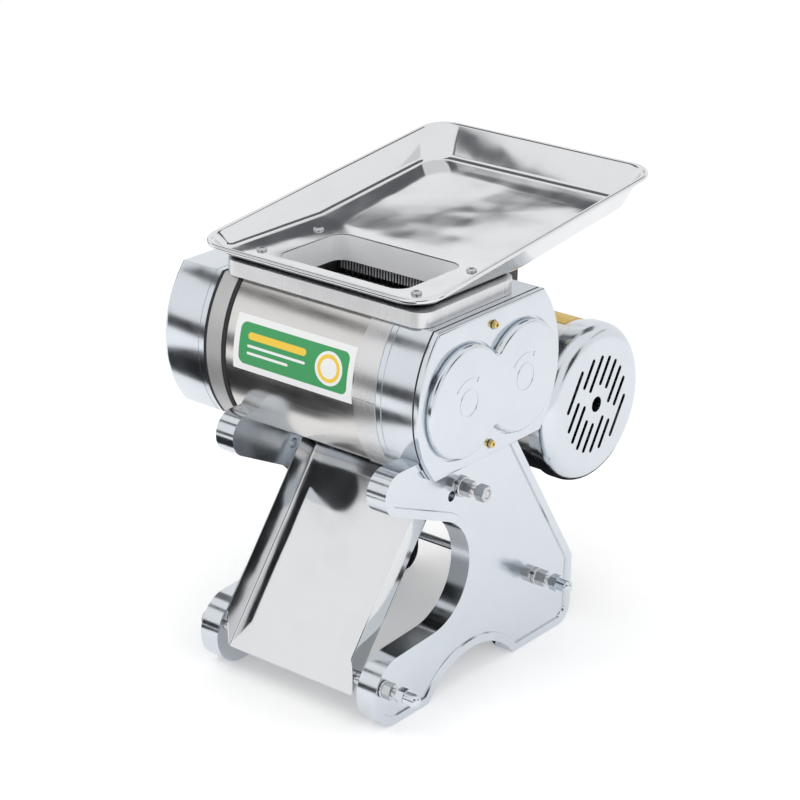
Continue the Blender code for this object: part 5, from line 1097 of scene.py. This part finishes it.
class CUTTER_OT_tray(bpy.types.Operator):
    """Build the folded feed tray and its screws"""

    bl_idname = "cutter.tray"
    bl_label = "Feed tray"

    def execute(self, context):
        tray = sizes("tray")
        lowest, highest = low("feed_tray"), high("feed_tray")
        outer = (lowest.x, highest.x, lowest.y, highest.y)
        base = (lowest.x + tray.side_flare, highest.x - tray.side_flare, lowest.y + tray.front_flare,
                highest.y - tray.back_flare)
        lip = (lowest.x + tray.lip, highest.x - tray.lip, lowest.y + tray.lip, highest.y - tray.lip)
        slope = math.tan(tray.tilt)

        def rim(y):
            return tray.front_rim_z + (y - lowest.y) * slope

        def floor(y):
            return tray.floor_z + max(y - tray.bend_y, 0.0) * slope

        def fit(verts, before, after, height):
            for vert in verts:
                share_x = (vert.co.x - before[0]) / (before[1] - before[0])
                share_y = (vert.co.y - before[2]) / (before[3] - before[2])
                vert.co.x = after[0] + share_x * (after[1] - after[0])
                vert.co.y = after[2] + share_y * (after[3] - after[2])
                vert.co.z = height(vert.co.y)

        shape = bmesh.new()
        bmesh.ops.create_grid(shape, x_segments=1, y_segments=1, size=0.5)
        unit = (-0.5, 0.5, -0.5, 0.5)
        fit(shape.verts, unit, base, lambda y: 0.0)
        bevel(shape, shape.verts[:], tray.corner, 14, "VERTICES")
        everything = shape.verts[:] + shape.edges[:] + shape.faces[:]
        bmesh.ops.bisect_plane(shape, geom=everything, plane_co=(0, tray.bend_y, 0), plane_no=(0, 1, 0))
        fit(shape.verts, base, base, floor)
        last = base
        for after, height in ((lip, rim), (outer, rim), (outer, lambda y: rim(y) - tray.lip_drop)):
            border = [edge for edge in shape.edges if edge.is_boundary]
            made = bmesh.ops.extrude_edge_only(shape, edges=border)
            fit(points(made), last, after, height)
            last = after
        bmesh.ops.recalc_face_normals(shape, faces=shape.faces)
        bottom = min(shape.faces, key=lambda face: face.calc_center_median().z)
        if bottom.normal.z < 0:
            bmesh.ops.reverse_faces(shape, faces=shape.faces)

        def folded(edge):
            return len(edge.link_faces) == 2 and edge.calc_face_angle() > FOLD

        def around(edge):
            return all(abs(vert.co.z - floor(vert.co.y)) < NEAR for vert in edge.verts)

        crease = [e for e in shape.edges if folded(e) and around(e)]
        bevel(shape, crease, tray.floor_bend, 6)
        rolled = [e for e in shape.edges if folded(e) and min(v.co.z - rim(v.co.y) for v in e.verts) > -NEAR]
        bevel(shape, rolled, tray.lip_round, 5)
        sheet = modified(shape, "SOLIDIFY", thickness=tray.sheet, offset=-1.0, use_even_offset=True)
        sheet = combine(sheet, throat_block(tray.floor_z - tray.lip, tray.floor_z + tray.lip))
        piece("tray", sheet, "polished", ["feed_tray"], crease=50, edge=(tray.sheet / 3, 2, 60))

        for name in TRAY_SCREWS:
            middle = centre(name)
            top = high(name).z
            head = rod(top - tray.screw_height, top, tray.screw_radius, 0.0, 0.0)
            round_edges(head, around_face(top), tray.screw_height * SCREW_ROUND, 5)
            shank = rod(low(name).z, top - tray.screw_height / 2, tray.screw_shank * SHANK_PLAY, 0.0, 0.0, 24)
            head = combine(head, shank, "UNION")
            long, thin = (tray.screw_radius * share for share in CROSS)
            for reach in ((long, thin), (thin, long)):
                cross = block((top - tray.screw_height / 2, -reach[0], -reach[1]), (top + long, *reach))
                head = combine(head, cross)
            piece(name.replace("_tray_screw", "_screw"), upright(head, middle.x, middle.y), "steel", [name])
        return {"FINISHED"}


# Stands, chute and fasteners


def stand_shape(x_low, x_high, lobe_y):
    """Front foot, cut-out, lobe, flat top, sloping back, rear foot and arch."""
    stand = sizes("stand")
    foot = (stand.foot_y, stand.foot_radius)
    cutout = (stand.cutout_y, stand.cutout_z)
    lobe = (lobe_y, stand.lobe_z)
    top = high("left_stand").z

    def between(first, radius, second, other):
        away = (first[0] - second[0], first[1] - second[1])
        return math.atan2(away[1], away[0]) - math.acos((radius + other) / math.hypot(*away))

    under = between(lobe, stand.lobe_radius, cutout, stand.cutout_radius)
    over = between(cutout, stand.cutout_radius, foot, stand.foot_radius)
    over += 2 * math.acos((stand.cutout_radius + stand.foot_radius)
                          / math.hypot(cutout[0] - foot[0], cutout[1] - foot[1]))
    reach = math.hypot(stand.top_front_y - lobe_y, top - stand.lobe_z)
    leave = math.atan2(top - stand.lobe_z, stand.top_front_y - lobe_y)
    leave += math.acos(stand.lobe_radius / reach)
    lean = math.asin(stand.arch_drop / stand.arch_radius)

    outline = Outline(x_low, stand.foot_y, 0.0)

    def swing(hub, radius, begin, end):
        outline.line(hub[0] + radius * math.cos(begin), hub[1] + radius * math.sin(begin))
        outline.arc(*hub, end - begin)

    swing(foot, stand.foot_radius, -math.pi / 2, over - math.tau)
    swing(cutout, stand.cutout_radius, over - math.pi, under)
    swing(lobe, stand.lobe_radius, under - math.pi, leave - math.tau)
    outline.line(stand.top_front_y, top)
    outline.line(stand.top_rear_y, top)
    outline.line(stand.rear_y - stand.shoulder_in, stand.rear_top + stand.shoulder_up)
    outline.line(stand.rear_y, stand.rear_top)
    swing((stand.rear_y - stand.rear_corner, stand.rear_corner), stand.rear_corner, 0.0, -math.pi / 2)
    swing((stand.arch_y, -stand.arch_drop), stand.arch_radius, lean, math.pi - lean)
    return outline.plate(x_high - x_low)


class CUTTER_OT_stands(bpy.types.Operator):
    """Build the two cast stands with their raised rims, sunk panels and bolt holes"""

    bl_idname = "cutter.stands"
    bl_label = "Stands"

    def execute(self, context):
        stand, nuts = sizes("stand"), sizes("nuts")
        for side, shift in (("right", 0.0), ("left", stand.left_lobe_shift)):
            x_low, x_high = ends(f"{side}_stand")
            outer, way = (x_high, 1) if side == "right" else (x_low, -1)
            shape = stand_shape(x_low, x_high, stand.lobe_y + shift)
            panel = max(shape.faces, key=lambda face: face.normal.x * way * face.calc_area())
            bmesh.ops.inset_region(shape, faces=[panel], thickness=stand.rim, use_even_offset=True)
            bmesh.ops.inset_region(shape, faces=[panel], thickness=stand.panel_depth / 2,
                                   depth=-stand.panel_depth, use_even_offset=True)
            bmesh.ops.remove_doubles(shape, verts=shape.verts, dist=5 * TOUCH)
            shape = combine(shape, together(*(rod(x_low - stand.rim, x_high + stand.rim, radius, y, z, 32)
                                              for y, z, radius in bolt_places())))
            seat = sorted((outer - way * stand.panel_depth, outer + way * stand.panel_depth))
            y, z, _ = bolt_places()[1]
            shape = combine(shape, rod(*seat, nuts.spot_radius, y, z))
            piece(f"{side}_casting", shape, "casting", [f"{side}_stand"], edge=(stand.edge / 3, 4, 40))
        return {"FINISHED"}


def bolt_places():
    stand, nuts = sizes("stand"), sizes("nuts")
    places = []
    for name in ("upper_right_chute_bolt", "lower_right_chute_bolt", "rear_tie_rod"):
        middle = centre(name)
        places.append((middle.y, middle.z, nuts.bolt_radius + nuts.clearance))
    return places + [(stand.spare_hole_y, stand.spare_hole_z, stand.spare_hole)]


class CUTTER_OT_chute(bpy.types.Operator):
    """Build the folded discharge chute"""

    bl_idname = "cutter.chute"
    bl_label = "Chute"

    def execute(self, context):
        chute = sizes("chute")
        left, right = ends("discharge_chute")
        foot, top = Vector((chute.foot_y, chute.foot_z)), Vector((chute.top_y, chute.top_z))
        slope = (top - foot).normalized()
        normal = Vector((-slope.y, slope.x)) * chute.flange
        edge = foot + normal
        rise = slope.y / slope.x
        head_z = high("discharge_chute").z
        head = (edge.x + (head_z - edge.y) / rise, head_z)
        front = foot.x - chute.sheet
        toe = (front, edge.y + (front - edge.x) * rise)
        left, right = left + chute.sheet, right - chute.sheet
        shape = bmesh.new()
        extend(shape, shape.verts.new((left, foot.x, foot.y)), (left, top.x, top.y))
        pull(shape, right - left)
        sides = [e for e in shape.edges if abs(e.verts[0].co.x - e.verts[1].co.x) < chute.sheet]
        made = bmesh.ops.extrude_edge_only(shape, edges=sides)
        for vert in points(made):
            y, z = toe if vert.co.z < (foot.y + top.y) / 2 else head
            vert.co = (vert.co.x, y, z)
        bmesh.ops.recalc_face_normals(shape, faces=shape.faces)
        folds = [e for e in shape.edges if len(e.link_faces) == 2]
        bevel(shape, folds, chute.fold, 5)
        floor = max(shape.faces, key=lambda face: face.calc_area())
        if floor.normal.y > 0:
            bmesh.ops.reverse_faces(shape, faces=shape.faces)
        sheet = modified(shape, "SOLIDIFY", thickness=chute.sheet, offset=-1.0, use_even_offset=True)
        piece("chute", sheet, "polished", ["discharge_chute"], crease=50, edge=(chute.sheet / 3, 2, 60))
        return {"FINISHED"}


def hexagon(x_low, x_high, y, z, chamfers):
    """A hexagon nut or head with turned chamfers on its corners."""
    nuts = sizes("nuts")
    shape = rod(x_low, x_high, nuts.hexagon, y, z, 6)
    cut, flat = nuts.chamfer / 2, nuts.hexagon - nuts.chamfer
    beyond = nuts.hexagon + cut
    profile = [(x_low, 0.0), (x_low, flat if "low" in chamfers else beyond), (x_low + cut, beyond),
               (x_high - cut, beyond), (x_high, flat if "high" in chamfers else beyond), (x_high, 0.0)]
    return combine(shape, turned(profile, y, z, 48), "INTERSECT")


def threaded(x_low, x_high, y, z, thread_low, thread_high):
    """A bolt's shank with a turned thread along part of it."""
    nuts = sizes("nuts")
    radius, root = nuts.bolt_radius, nuts.bolt_radius - nuts.thread_depth
    profile = [(x_low, 0.0), (x_low, root), (x_low + nuts.thread_depth, radius)]
    turns = int((thread_high - thread_low) / nuts.thread_pitch)
    for turn in range(turns):
        x = thread_low + turn * nuts.thread_pitch
        profile += [(x, radius), (x + nuts.thread_pitch / 2, root)]
    profile += [(x_high - nuts.thread_depth, radius), (x_high, root), (x_high, 0.0)]
    return turned(profile, y, z, 32)


class CUTTER_OT_fasteners(bpy.types.Operator):
    """Build the bolts, flange nuts, lock nut and dome nuts on the stands"""

    bl_idname = "cutter.fasteners"
    bl_label = "Fasteners"

    def execute(self, context):
        nuts = sizes("nuts")
        face = low("upper_flange_nut").x

        def drilled(nut, x_low, x_high):
            return combine(nut, rod(x_low, x_high, nuts.bolt_radius + nuts.clearance, y, z, 32))

        for place, bolt in (("upper", "upper_right_chute_bolt"), ("lower", "lower_right_chute_bolt"),
                            ("rear", "rear_tie_rod")):
            y, z = centre(bolt).yz
            name = f"{place}_flange_nut"
            tip = high(name).x
            flange = rod(face, face + nuts.washer, (high(name).z - low(name).z) / 2, y, z, 64)
            round_edges(flange, around_face(face + nuts.washer), nuts.washer / 3, 4)
            nut = combine(flange, hexagon(face + nuts.washer / 2, tip, y, z, ("high",)), "UNION")
            nut = drilled(nut, face - nuts.washer, tip + nuts.washer)
            piece(f"{place}_flanged_nut", nut, "steel", [name])
            if place == "upper":
                start, tip = ends("upper_lock_nut")
                nut = hexagon(start, tip, y, z, ("low", "high"))
                nut = drilled(nut, start - nuts.washer, tip + nuts.washer)
                piece("upper_locking_nut", nut, "steel", ["upper_lock_nut"])
                continue
            start, tip = ends(f"{place}_dome_nut")
            split = start + nuts.dome_hexagon
            dome = rod(split - nuts.chamfer, tip, nuts.dome_radius, y, z)
            round_edges(dome, around_face(tip), nuts.dome_radius * DOME_ROUND, 8)
            nut = combine(hexagon(start, split, y, z, ("low", "high")), dome, "UNION")
            nut = drilled(nut, start - nuts.washer, split + nuts.clearance)
            piece(f"{place}_domed_nut", nut, "casting", [f"{place}_dome_nut"])
        shoulder = low("right_stand").x

        def headed(name, made, thread=None):
            (start, tip), (y, z) = ends(name), centre(name).yz
            reach = start + nuts.head
            bolt = threaded(start + nuts.chamfer, tip, y, z, thread or reach, tip)
            piece(made, combine(bolt, hexagon(start, reach, y, z, ("low",)), "UNION"), "steel", [name])

        for place in ("upper", "lower"):
            name = f"{place}_right_chute_bolt"
            (start, tip), (y, z) = ends(name), centre(name).yz
            bolt = threaded(start + nuts.chamfer, tip, y, z, shoulder, tip)
            bolt = combine(bolt, rod(start, shoulder - nuts.clearance, nuts.collar_radius, y, z), "UNION")
            piece(f"{place}_right_stud", bolt, "steel", [name])
            headed(f"{place}_left_chute_bolt", f"{place}_left_bolt")
        headed("rear_tie_rod", "rear_rod", shoulder)
        return {"FINISHED"}


# Motor and switch


def fan_slots(face):
    """Round-ended slots in leaning columns, with a plain band across the middle and a plain hub."""
    motor, axis = sizes("motor"), AXES["motor_spin"]
    lean = (math.sin(motor.slot_tilt), math.cos(motor.slot_tilt))
    across = (math.cos(motor.slot_tilt), -math.sin(motor.slot_tilt))
    half_width = motor.slot_width / 2
    deep = motor.cover_round
    slots = []
    for column in range(SLOT_COLUMNS):
        offset = (column - (SLOT_COLUMNS - 1) / 2) * motor.slot_pitch
        end = math.sqrt(motor.slot_field ** 2 - offset ** 2)
        hub = math.sqrt(max(motor.slot_hub ** 2 - offset ** 2, 0.0))
        start = max(motor.slot_gap, hub)
        outer = column in (0, SLOT_COLUMNS - 1)
        for first, last in ([(-end, end)] if outer else [(start, end), (-end, -start)]):
            half = (last - first) / 2
            middle = (first + last) / 2
            slot = block((face - deep / 2, -half_width, -half), (face + deep, half_width, half))
            corners = [e for e in slot.edges if abs((e.verts[0].co - e.verts[1].co).normalized().x) > 0.9]
            bevel(slot, corners, half_width * SLOT_ROUND, 6)
            place = Matrix.Translation((0.0, axis.y + offset * across[0] + middle * lean[0],
                                        axis.z + offset * across[1] + middle * lean[1]))
            bmesh.ops.transform(slot, matrix=place @ Matrix.Rotation(-motor.slot_tilt, 4, "X"),
                                verts=slot.verts)
            slots.append(slot)
    slots.append(rod(face - deep / 2, face + deep, motor.hub_hole, axis.y, axis.z))
    return together(*slots)


def quarter(x, radius, size):
    """The (x, radius) points of a rounded outer edge at x. It reaches to higher x where size is above 0."""
    turns = [math.radians(QUARTER_STEP * n) for n in range(round(90 / QUARTER_STEP) + 1)]
    return [(x + size * (1 - math.cos(turn)), radius - abs(size) * (1 - math.sin(turn))) for turn in turns]


class CUTTER_OT_motor(bpy.types.Operator):
    """Build the motor's shell, front bell, slotted fan cover and blank yellow label"""

    bl_idname = "cutter.motor"
    bl_label = "Motor"

    def execute(self, context):
        motor, tints = sizes("motor"), sizes("finishes")
        axis = AXES["motor_spin"]
        wall = motor.cover_wall
        left, face = ends("fan_cover")
        outer, round_by = motor.cover_radius, motor.cover_round
        profile = [(face, 0.0), *quarter(face, outer, -round_by), (left, outer), (left, outer - wall),
                   *reversed(quarter(face - wall, outer - wall, wall - round_by)), (face - wall, 0.0)]
        cover = combine(turned(profile, axis.y, axis.z, 128), fan_slots(face))
        piece("slotted_cover", cover, "casting", ["fan_cover"], edge=(motor.slot_width / 10, 2, 50))

        shell_radius = (high("motor_shell").z - low("motor_shell").z) / 2
        left, right = ends("motor_shell")
        bore = shell_radius - motor.shell_wall
        edge = wall / 4
        profile = [(left, bore), (left, shell_radius - edge), (left + edge, shell_radius),
                   (right - edge, shell_radius), (right, shell_radius - edge), (right, bore), (left, bore)]
        piece("motor_casing", turned(profile, axis.y, axis.z, 128), "satin", ["motor_shell"])

        left, right = ends("motor_front_bell")
        profile = [(left, motor.bell_bore), *quarter(left, shell_radius, motor.bell_edge),
                   (right, shell_radius), (right, motor.bell_bore), (left, motor.bell_bore)]
        piece("motor_bell", turned(profile, axis.y, axis.z, 128), "casting", ["motor_front_bell"])

        patch = wrapped_patch(motor.label_low_x, motor.label_high_x, (axis.y, axis.z), shell_radius,
                              motor.label_start, motor.label_turn, sizes("label").lift)
        height = shell_radius * motor.label_turn / (motor.label_high_x - motor.label_low_x)
        middle = (0.5, height / 2)
        fields = [(middle, (0.47, height / 2 - 0.03), 0.05, tints.black),
                  (middle, (0.455, height / 2 - 0.045), 0.04, tints.label_yellow)]
        piece("motor_label", patch, "label", label=label_finish("Motor label", tints.label_yellow, fields))
        return {"FINISHED"}


class CUTTER_OT_switch(bpy.types.Operator):
    """Build the switch box on the motor, its rocker and the cable gland"""

    bl_idname = "cutter.switch"
    bl_label = "Switch"

    def execute(self, context):
        box, axis = sizes("switch"), AXES["motor_spin"]
        lowest, highest = low("switch_box"), high("switch_box")
        wall = Vector((box.wall, box.wall, box.wall))
        shape = rounded_block(lowest, highest, box.corner, 6)
        round_edges(shape, lambda edge: all(abs(v.co.z - highest.z) < TOUCH for v in edge.verts), box.edge, 4)
        inside = (lowest.x + box.wall, lowest.y + box.wall, lowest.z - box.wall)
        shape = combine(shape, rounded_block(inside, highest - wall, box.corner - box.wall, 4))
        radius = (high("motor_shell").z - low("motor_shell").z) / 2 + box.play
        shape = combine(shape, rod(lowest.x - box.wall, highest.x + box.wall, radius, axis.y, axis.z, 128))
        pivot = AXES["switch_rocker_tilt"]
        reach = Vector((box.rocker_length / 2 + box.rocker_play, box.rocker_width / 2 + box.play, 0))
        drop_z = Vector((0, 0, box.wall * 2))
        window = block(Vector((pivot.x, pivot.y, highest.z)) - reach - drop_z,
                       Vector((pivot.x, pivot.y, highest.z)) + reach + drop_z)
        shape = combine(shape, window)
        gland_lowest, gland_highest, gland = low("cable_gland"), high("cable_gland"), centre("cable_gland")
        thread = box.gland_bore + box.wall
        shape = combine(shape, rod(lowest.x - box.wall, lowest.x + 2 * box.wall, thread + box.play, gland.y,
                                   gland.z))
        piece("switch_housing", shape, "plastic", ["switch_box"])

        tilt = box.rocker_tilt
        half, wide = box.rocker_length / 2, box.rocker_width / 2
        rocker = bmesh.new()
        first = rocker.verts.new((-half, -wide, -box.rocker_depth))
        dip = half * math.tan(tilt)
        for x, z in ((half, -box.rocker_depth), (half, box.rocker_rise), (0.0, box.rocker_rise - dip),
                     (-half, box.rocker_rise)):
            first = extend(rocker, first, (x, -wide, z))
        rocker.edges.new([vert for vert in rocker.verts if len(vert.link_edges) == 1])
        bmesh.ops.edgeloop_fill(rocker, edges=rocker.edges[:])
        deepen(rocker, 2 * wide, axis=1)
        place = Matrix.Translation(pivot) @ Matrix.Rotation(tilt, 4, "Y")
        bmesh.ops.transform(rocker, matrix=place, verts=rocker.verts)
        piece("rocker", rocker, "grey", ["switch_rocker"], "rocker", edge=(box.edge / 3, 3, 15))

        collar = lowest.x - box.play
        start, tail, bore = collar - box.gland_collar, gland_lowest.x, box.gland_bore
        ridges = []
        step = (start - tail) / box.gland_ridges / 4
        for n in range(box.gland_ridges):
            x = start - (4 * n + 2) * step
            ridges += [(x + step, thread), (x, thread - box.play), (x - step, thread)]
        wide = (gland_highest.z - gland_lowest.z) / 2
        profile = [(gland_highest.x, bore), (gland_highest.x, thread), (collar, thread),
                   (collar, wide - box.play), (collar - box.play, wide), (start + box.play, wide),
                   (start, wide - box.play), (start, thread)]
        profile += ridges + [(tail, thread - box.play), (tail, bore), (gland_highest.x, bore)]
        piece("gland", turned(profile, gland.y, gland.z, 64), "plastic", ["cable_gland"])
        return {"FINISHED"}


# Knives


class CUTTER_OT_knives(bpy.types.Operator):
    """Build the disc knives with their ground edges, and the bright fingers on the combs beside them"""

    bl_idname = "cutter.knives"
    bl_label = "Knives"

    def execute(self, context):
        knives = sizes("knives")
        half_blade = knives.blade_thickness / 2
        for side, shift in (("front", -knives.pitch / 4), ("rear", knives.pitch / 4)):
            name, comb = f"{side}_blade_set", f"{side}_comb"
            x_low, x_high = ends(name)
            middle = (x_low + x_high) / 2
            axis = AXES[f"{side}_knife_spin"]
            arbor, radius = knives.arbor_radius, knives.blade_radius
            profile = [(x_high, knives.bore_radius), (x_high, arbor)]
            for n in reversed(range(knives.count)):
                x = middle + shift + (n - (knives.count - 1) / 2) * knives.pitch
                profile += [(x + half_blade, arbor), (x + half_blade, radius - knives.bevel),
                            (x + half_blade / 5, radius), (x - half_blade / 5, radius),
                            (x - half_blade, radius - knives.bevel), (x - half_blade, arbor)]
            profile += [(x_low, arbor), (x_low, knives.bore_radius), (x_high, knives.bore_radius)]
            piece(f"{side}_knives", turned(profile, axis.y, axis.z), "ground", [name], f"{side}_knife_set",
                  crease=12)
            face = high(comb).y if side == "front" else low(comb).y
            x = middle + shift - knives.pitch * knives.count / 2
            half, rise = knives.finger / 2, knives.finger_rise
            fingers = []
            while x < high(comb).x - knives.finger:
                if x > low(comb).x + knives.finger:
                    fingers.append(block((x - half, face - rise, knives.finger_low_z),
                                         (x + half, face + rise, high(comb).z - knives.finger)))
                x += knives.pitch / 2
            piece(f"{side}_comb_fingers", together(*fingers), "throat")
        return {"FINISHED"}


class CUTTER_OT_inner(bpy.types.Operator):
    """Give the parts inside, such as gears, bearings and the motor's windings, their finishes"""

    bl_idname = "cutter.inner"
    bl_label = "Inner parts"

    def execute(self, context):
        for name, part in frame["nodes"].items():
            if part.hide_render:
                continue
            for place in part.material_slots:
                given = place.material.name.split(".")[0]
                key = next((key for key, row in FINISHES.items() if row[1] == given), None)
                if not key:
                    raise RuntimeError(f"{name} has no finish for {given}")
                place.material = finish(key)
        return {"FINISHED"}


# Stage

SENSOR, LENS = 36.0, 109.62  # millimetres
CAMERA_PLACE = (1.3236, -1.69305, 1.0989)
CAMERA_TURN = (38.28, 22.13, 0.96)  # yaw, pitch and roll in degrees
DARK, DIM = (0.02, 0.02, 0.022), (0.16, 0.165, 0.175)  # the cards' greys
WHITE = (1.0, 1.0, 1.0, 1.0)
CARDS = (  # each with its middle, width and height, facing and grey
    ("front_card", (-0.6, -1.25, 0.14), (2.6, 0.28), (0, 1, 0), DARK),
    ("side_card", (1.35, 0.55, 0.55), (0.50, 0.55), (-1, -0.3, 0), DARK),
    ("left_card", (-1.3, 0.1, 0.60), (0.9, 0.22), (1, 0, 0), DARK),
    ("tray_left_card", (-0.925, 1.01, 1.03), (0.09, 0.30), (0, 0, -1), DIM),
    ("tray_back_card", (-0.77, 1.15, 1.045), (0.38, 0.07), (0, 0, -1), DARK),
    ("tray_front_card", (-0.98, 0.94, 0.82), (0.09, 0.14), (0, 0, -1), DIM),
    ("left_sky_card", (-1.0, 0.20, 1.58), (0.7, 0.8), (0.59, -0.075, -0.8), DIM),
    ("back_sky_card", (0.18, 1.05, 1.40), (0.6, 0.6), (-0.217, -0.66, -0.72), DIM),
    ("wall_card", (-0.385, -0.235, 0.842), (0.38, 0.036), (0.55, 0.622, -0.557), DIM),
    ("side_wall_card", (0.655, 0.98, 0.620), (0.50, 0.060), (-0.649, -0.744, -0.159), DIM),
    ("chute_top_card", (-0.83, -0.84, 1.06), (0.56, 0.20), (0.574, 0.742, -0.2), DARK),
    ("lens_card", (1.32, -1.48, 1.50), (1.4, 1.1), (-0.574, 0.558, -0.6), DARK),
    ("under_card", (-0.07, 0.20, 0.001), (0.36, 0.46), (0, 0, 1), DARK),
    ("chute_card", (-0.40, -0.47, 0.001), (0.44, 0.44), (0, 0, 1), DARK),
)
LAMPS = (  # each with its place, target, width and height, and the name of its power
    ("key lamp", (-0.9, -1.2, 1.6), (0, 0, 0.25), (1.2, 1.2), "key"),
    ("right lamp", (1.6, -0.6, 1.0), (0, 0, 0.2), (1.0, 1.4), "side"),
    ("top lamp", (0.1, 0.6, 1.9), (0, 0, 0.3), (1.6, 1.0), "top"),
)


def seen_level(tree, target, hidden, shown):
    """Gives a level its own value where the camera, metal or glass sees it."""
    rays = node(tree, "LightPath")
    first = node(tree, "Math", operation="MAXIMUM")
    second = node(tree, "Math", operation="MAXIMUM")
    level = node(tree, "MapRange", {"To Min": hidden, "To Max": shown})
    join(tree, (rays, "Is Camera Ray", first, 0), (rays, "Is Glossy Ray", first, 1),
         (first, "Value", second, 0), (rays, "Is Transmission Ray", second, 1),
         (second, "Value", level, "Value"))
    tree.links.new(level.outputs["Result"], target)


def plain(name, tint):
    """A soft, plain material for the stage."""
    made = bpy.data.materials.new(name)
    made.use_nodes = True
    shader = made.node_tree.nodes["Principled BSDF"]
    shader.inputs["Base Color"].default_value = (*tint, 1.0)
    shader.inputs["Roughness"].default_value = 0.9
    shader.inputs["Specular IOR Level"].default_value = 0.0
    return made


def card(name, middle, size, facing, tint):
    """A flat card beside the part that only shows in reflections."""
    shape = bmesh.new()
    bmesh.ops.create_grid(shape, x_segments=1, y_segments=1, size=0.5)
    turn = Vector(facing).to_track_quat("Z", "Y").to_matrix().to_4x4()
    place = Matrix.Translation(middle) @ turn @ Matrix.Diagonal((*size, 1.0, 1.0))
    bmesh.ops.transform(shape, matrix=place, verts=shape.verts)
    made = held(shape, name)
    made.data.materials.append(plain(name, tint))
    made.visible_camera = False
    made.visible_shadow = False
    made.visible_diffuse = False


def lamp(name, place, target, size, power):
    data = bpy.data.lights.new(name, "AREA")
    data.shape = "RECTANGLE"
    data.size, data.size_y = size
    data.energy = power
    made = bpy.data.objects.new(name, data)
    made.location = place
    made.rotation_mode = "QUATERNION"
    made.rotation_quaternion = (Vector(target) - Vector(place)).to_track_quat("-Z", "Y")
    made.visible_glossy = False
    bpy.context.scene.collection.objects.link(made)


class CUTTER_OT_stage(bpy.types.Operator):
    """Build the pale floor, the lamps, the dark cards and the camera"""

    bl_idname = "cutter.stage"
    bl_label = "Stage"

    def execute(self, context):
        scene = context.scene
        studio = sizes("studio")
        world = bpy.data.worlds.new("Studio")
        scene.world = world
        world.use_nodes = True
        back = world.node_tree.nodes["Background"]
        back.inputs["Color"].default_value = WHITE
        seen_level(world.node_tree, back.inputs["Strength"], studio.fill, 1.0)

        shape = bmesh.new()
        bmesh.ops.create_grid(shape, x_segments=1, y_segments=1, size=studio.floor_size / 2)
        ground_plane = held(shape, "floor")
        pale = plain("Floor", sizes("finishes").floor)
        shader = pale.node_tree.nodes["Principled BSDF"]
        shader.inputs["Emission Color"].default_value = WHITE
        seen_level(pale.node_tree, shader.inputs["Emission Strength"], 0.0, studio.lift)
        ground_plane.data.materials.append(pale)

        for row in CARDS:
            card(*row)
        for *row, power in LAMPS:
            lamp(*row, getattr(studio, power))

        data = bpy.data.cameras.new("camera")
        data.sensor_width, data.lens = SENSOR, LENS
        made = bpy.data.objects.new("camera", data)
        yaw, pitch, roll = (math.radians(turn) for turn in CAMERA_TURN)
        ahead = Vector((-math.sin(yaw) * math.cos(pitch), math.cos(yaw) * math.cos(pitch), -math.sin(pitch)))
        right = Vector((math.cos(yaw), math.sin(yaw), 0.0))
        upward = right.cross(ahead)
        across = math.cos(roll) * right + math.sin(roll) * upward
        up = -math.sin(roll) * right + math.cos(roll) * upward
        turn = Matrix((across, up, -ahead)).transposed()
        made.matrix_world = Matrix.Translation(CAMERA_PLACE) @ turn.to_4x4()
        scene.collection.objects.link(made)
        scene.camera = made
        scene.view_settings.view_transform = "Standard"
        return {"FINISHED"}


STEPS = [CUTTER_OT_gearbox, CUTTER_OT_covers, CUTTER_OT_right_frame, CUTTER_OT_gear_cover, CUTTER_OT_collar,
         CUTTER_OT_tray, CUTTER_OT_stands, CUTTER_OT_chute, CUTTER_OT_fasteners, CUTTER_OT_motor,
         CUTTER_OT_switch, CUTTER_OT_knives, CUTTER_OT_inner, CUTTER_OT_stage]


class CUTTER_PT_panel(bpy.types.Panel):
    """Lists the pieces and their sizes"""

    bl_label = "Meat cutter"
    bl_idname = "CUTTER_PT_panel"
    bl_space_type = "VIEW_3D"
    bl_region_type = "UI"
    bl_category = "Meat cutter"

    def draw(self, context):
        for step in STEPS:
            self.layout.operator(step.bl_idname)
        for name in GROUPS:
            box = self.layout.box()
            group = getattr(context.scene, name)
            box.label(text=name.replace("cutter_", "").replace("_", " ").capitalize())
            for field in group.bl_rna.properties:
                if field.identifier not in {"rna_type", "name"}:
                    box.prop(group, field.identifier)


def register():
    for name, group in GROUPS.items():
        bpy.utils.register_class(group)
        setattr(bpy.types.Scene, name, PointerProperty(type=group))
    for step in (*STEPS, CUTTER_PT_panel):
        bpy.utils.register_class(step)


def unregister():
    for step in reversed((*STEPS, CUTTER_PT_panel)):
        bpy.utils.unregister_class(step)
    for name, group in GROUPS.items():
        delattr(bpy.types.Scene, name)
        bpy.utils.unregister_class(group)


def main():
    register()
    for step in STEPS:
        area, name = step.bl_idname.split(".")
        getattr(getattr(bpy.ops, area), name)()
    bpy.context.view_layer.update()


if __name__ == "__main__":
    main()
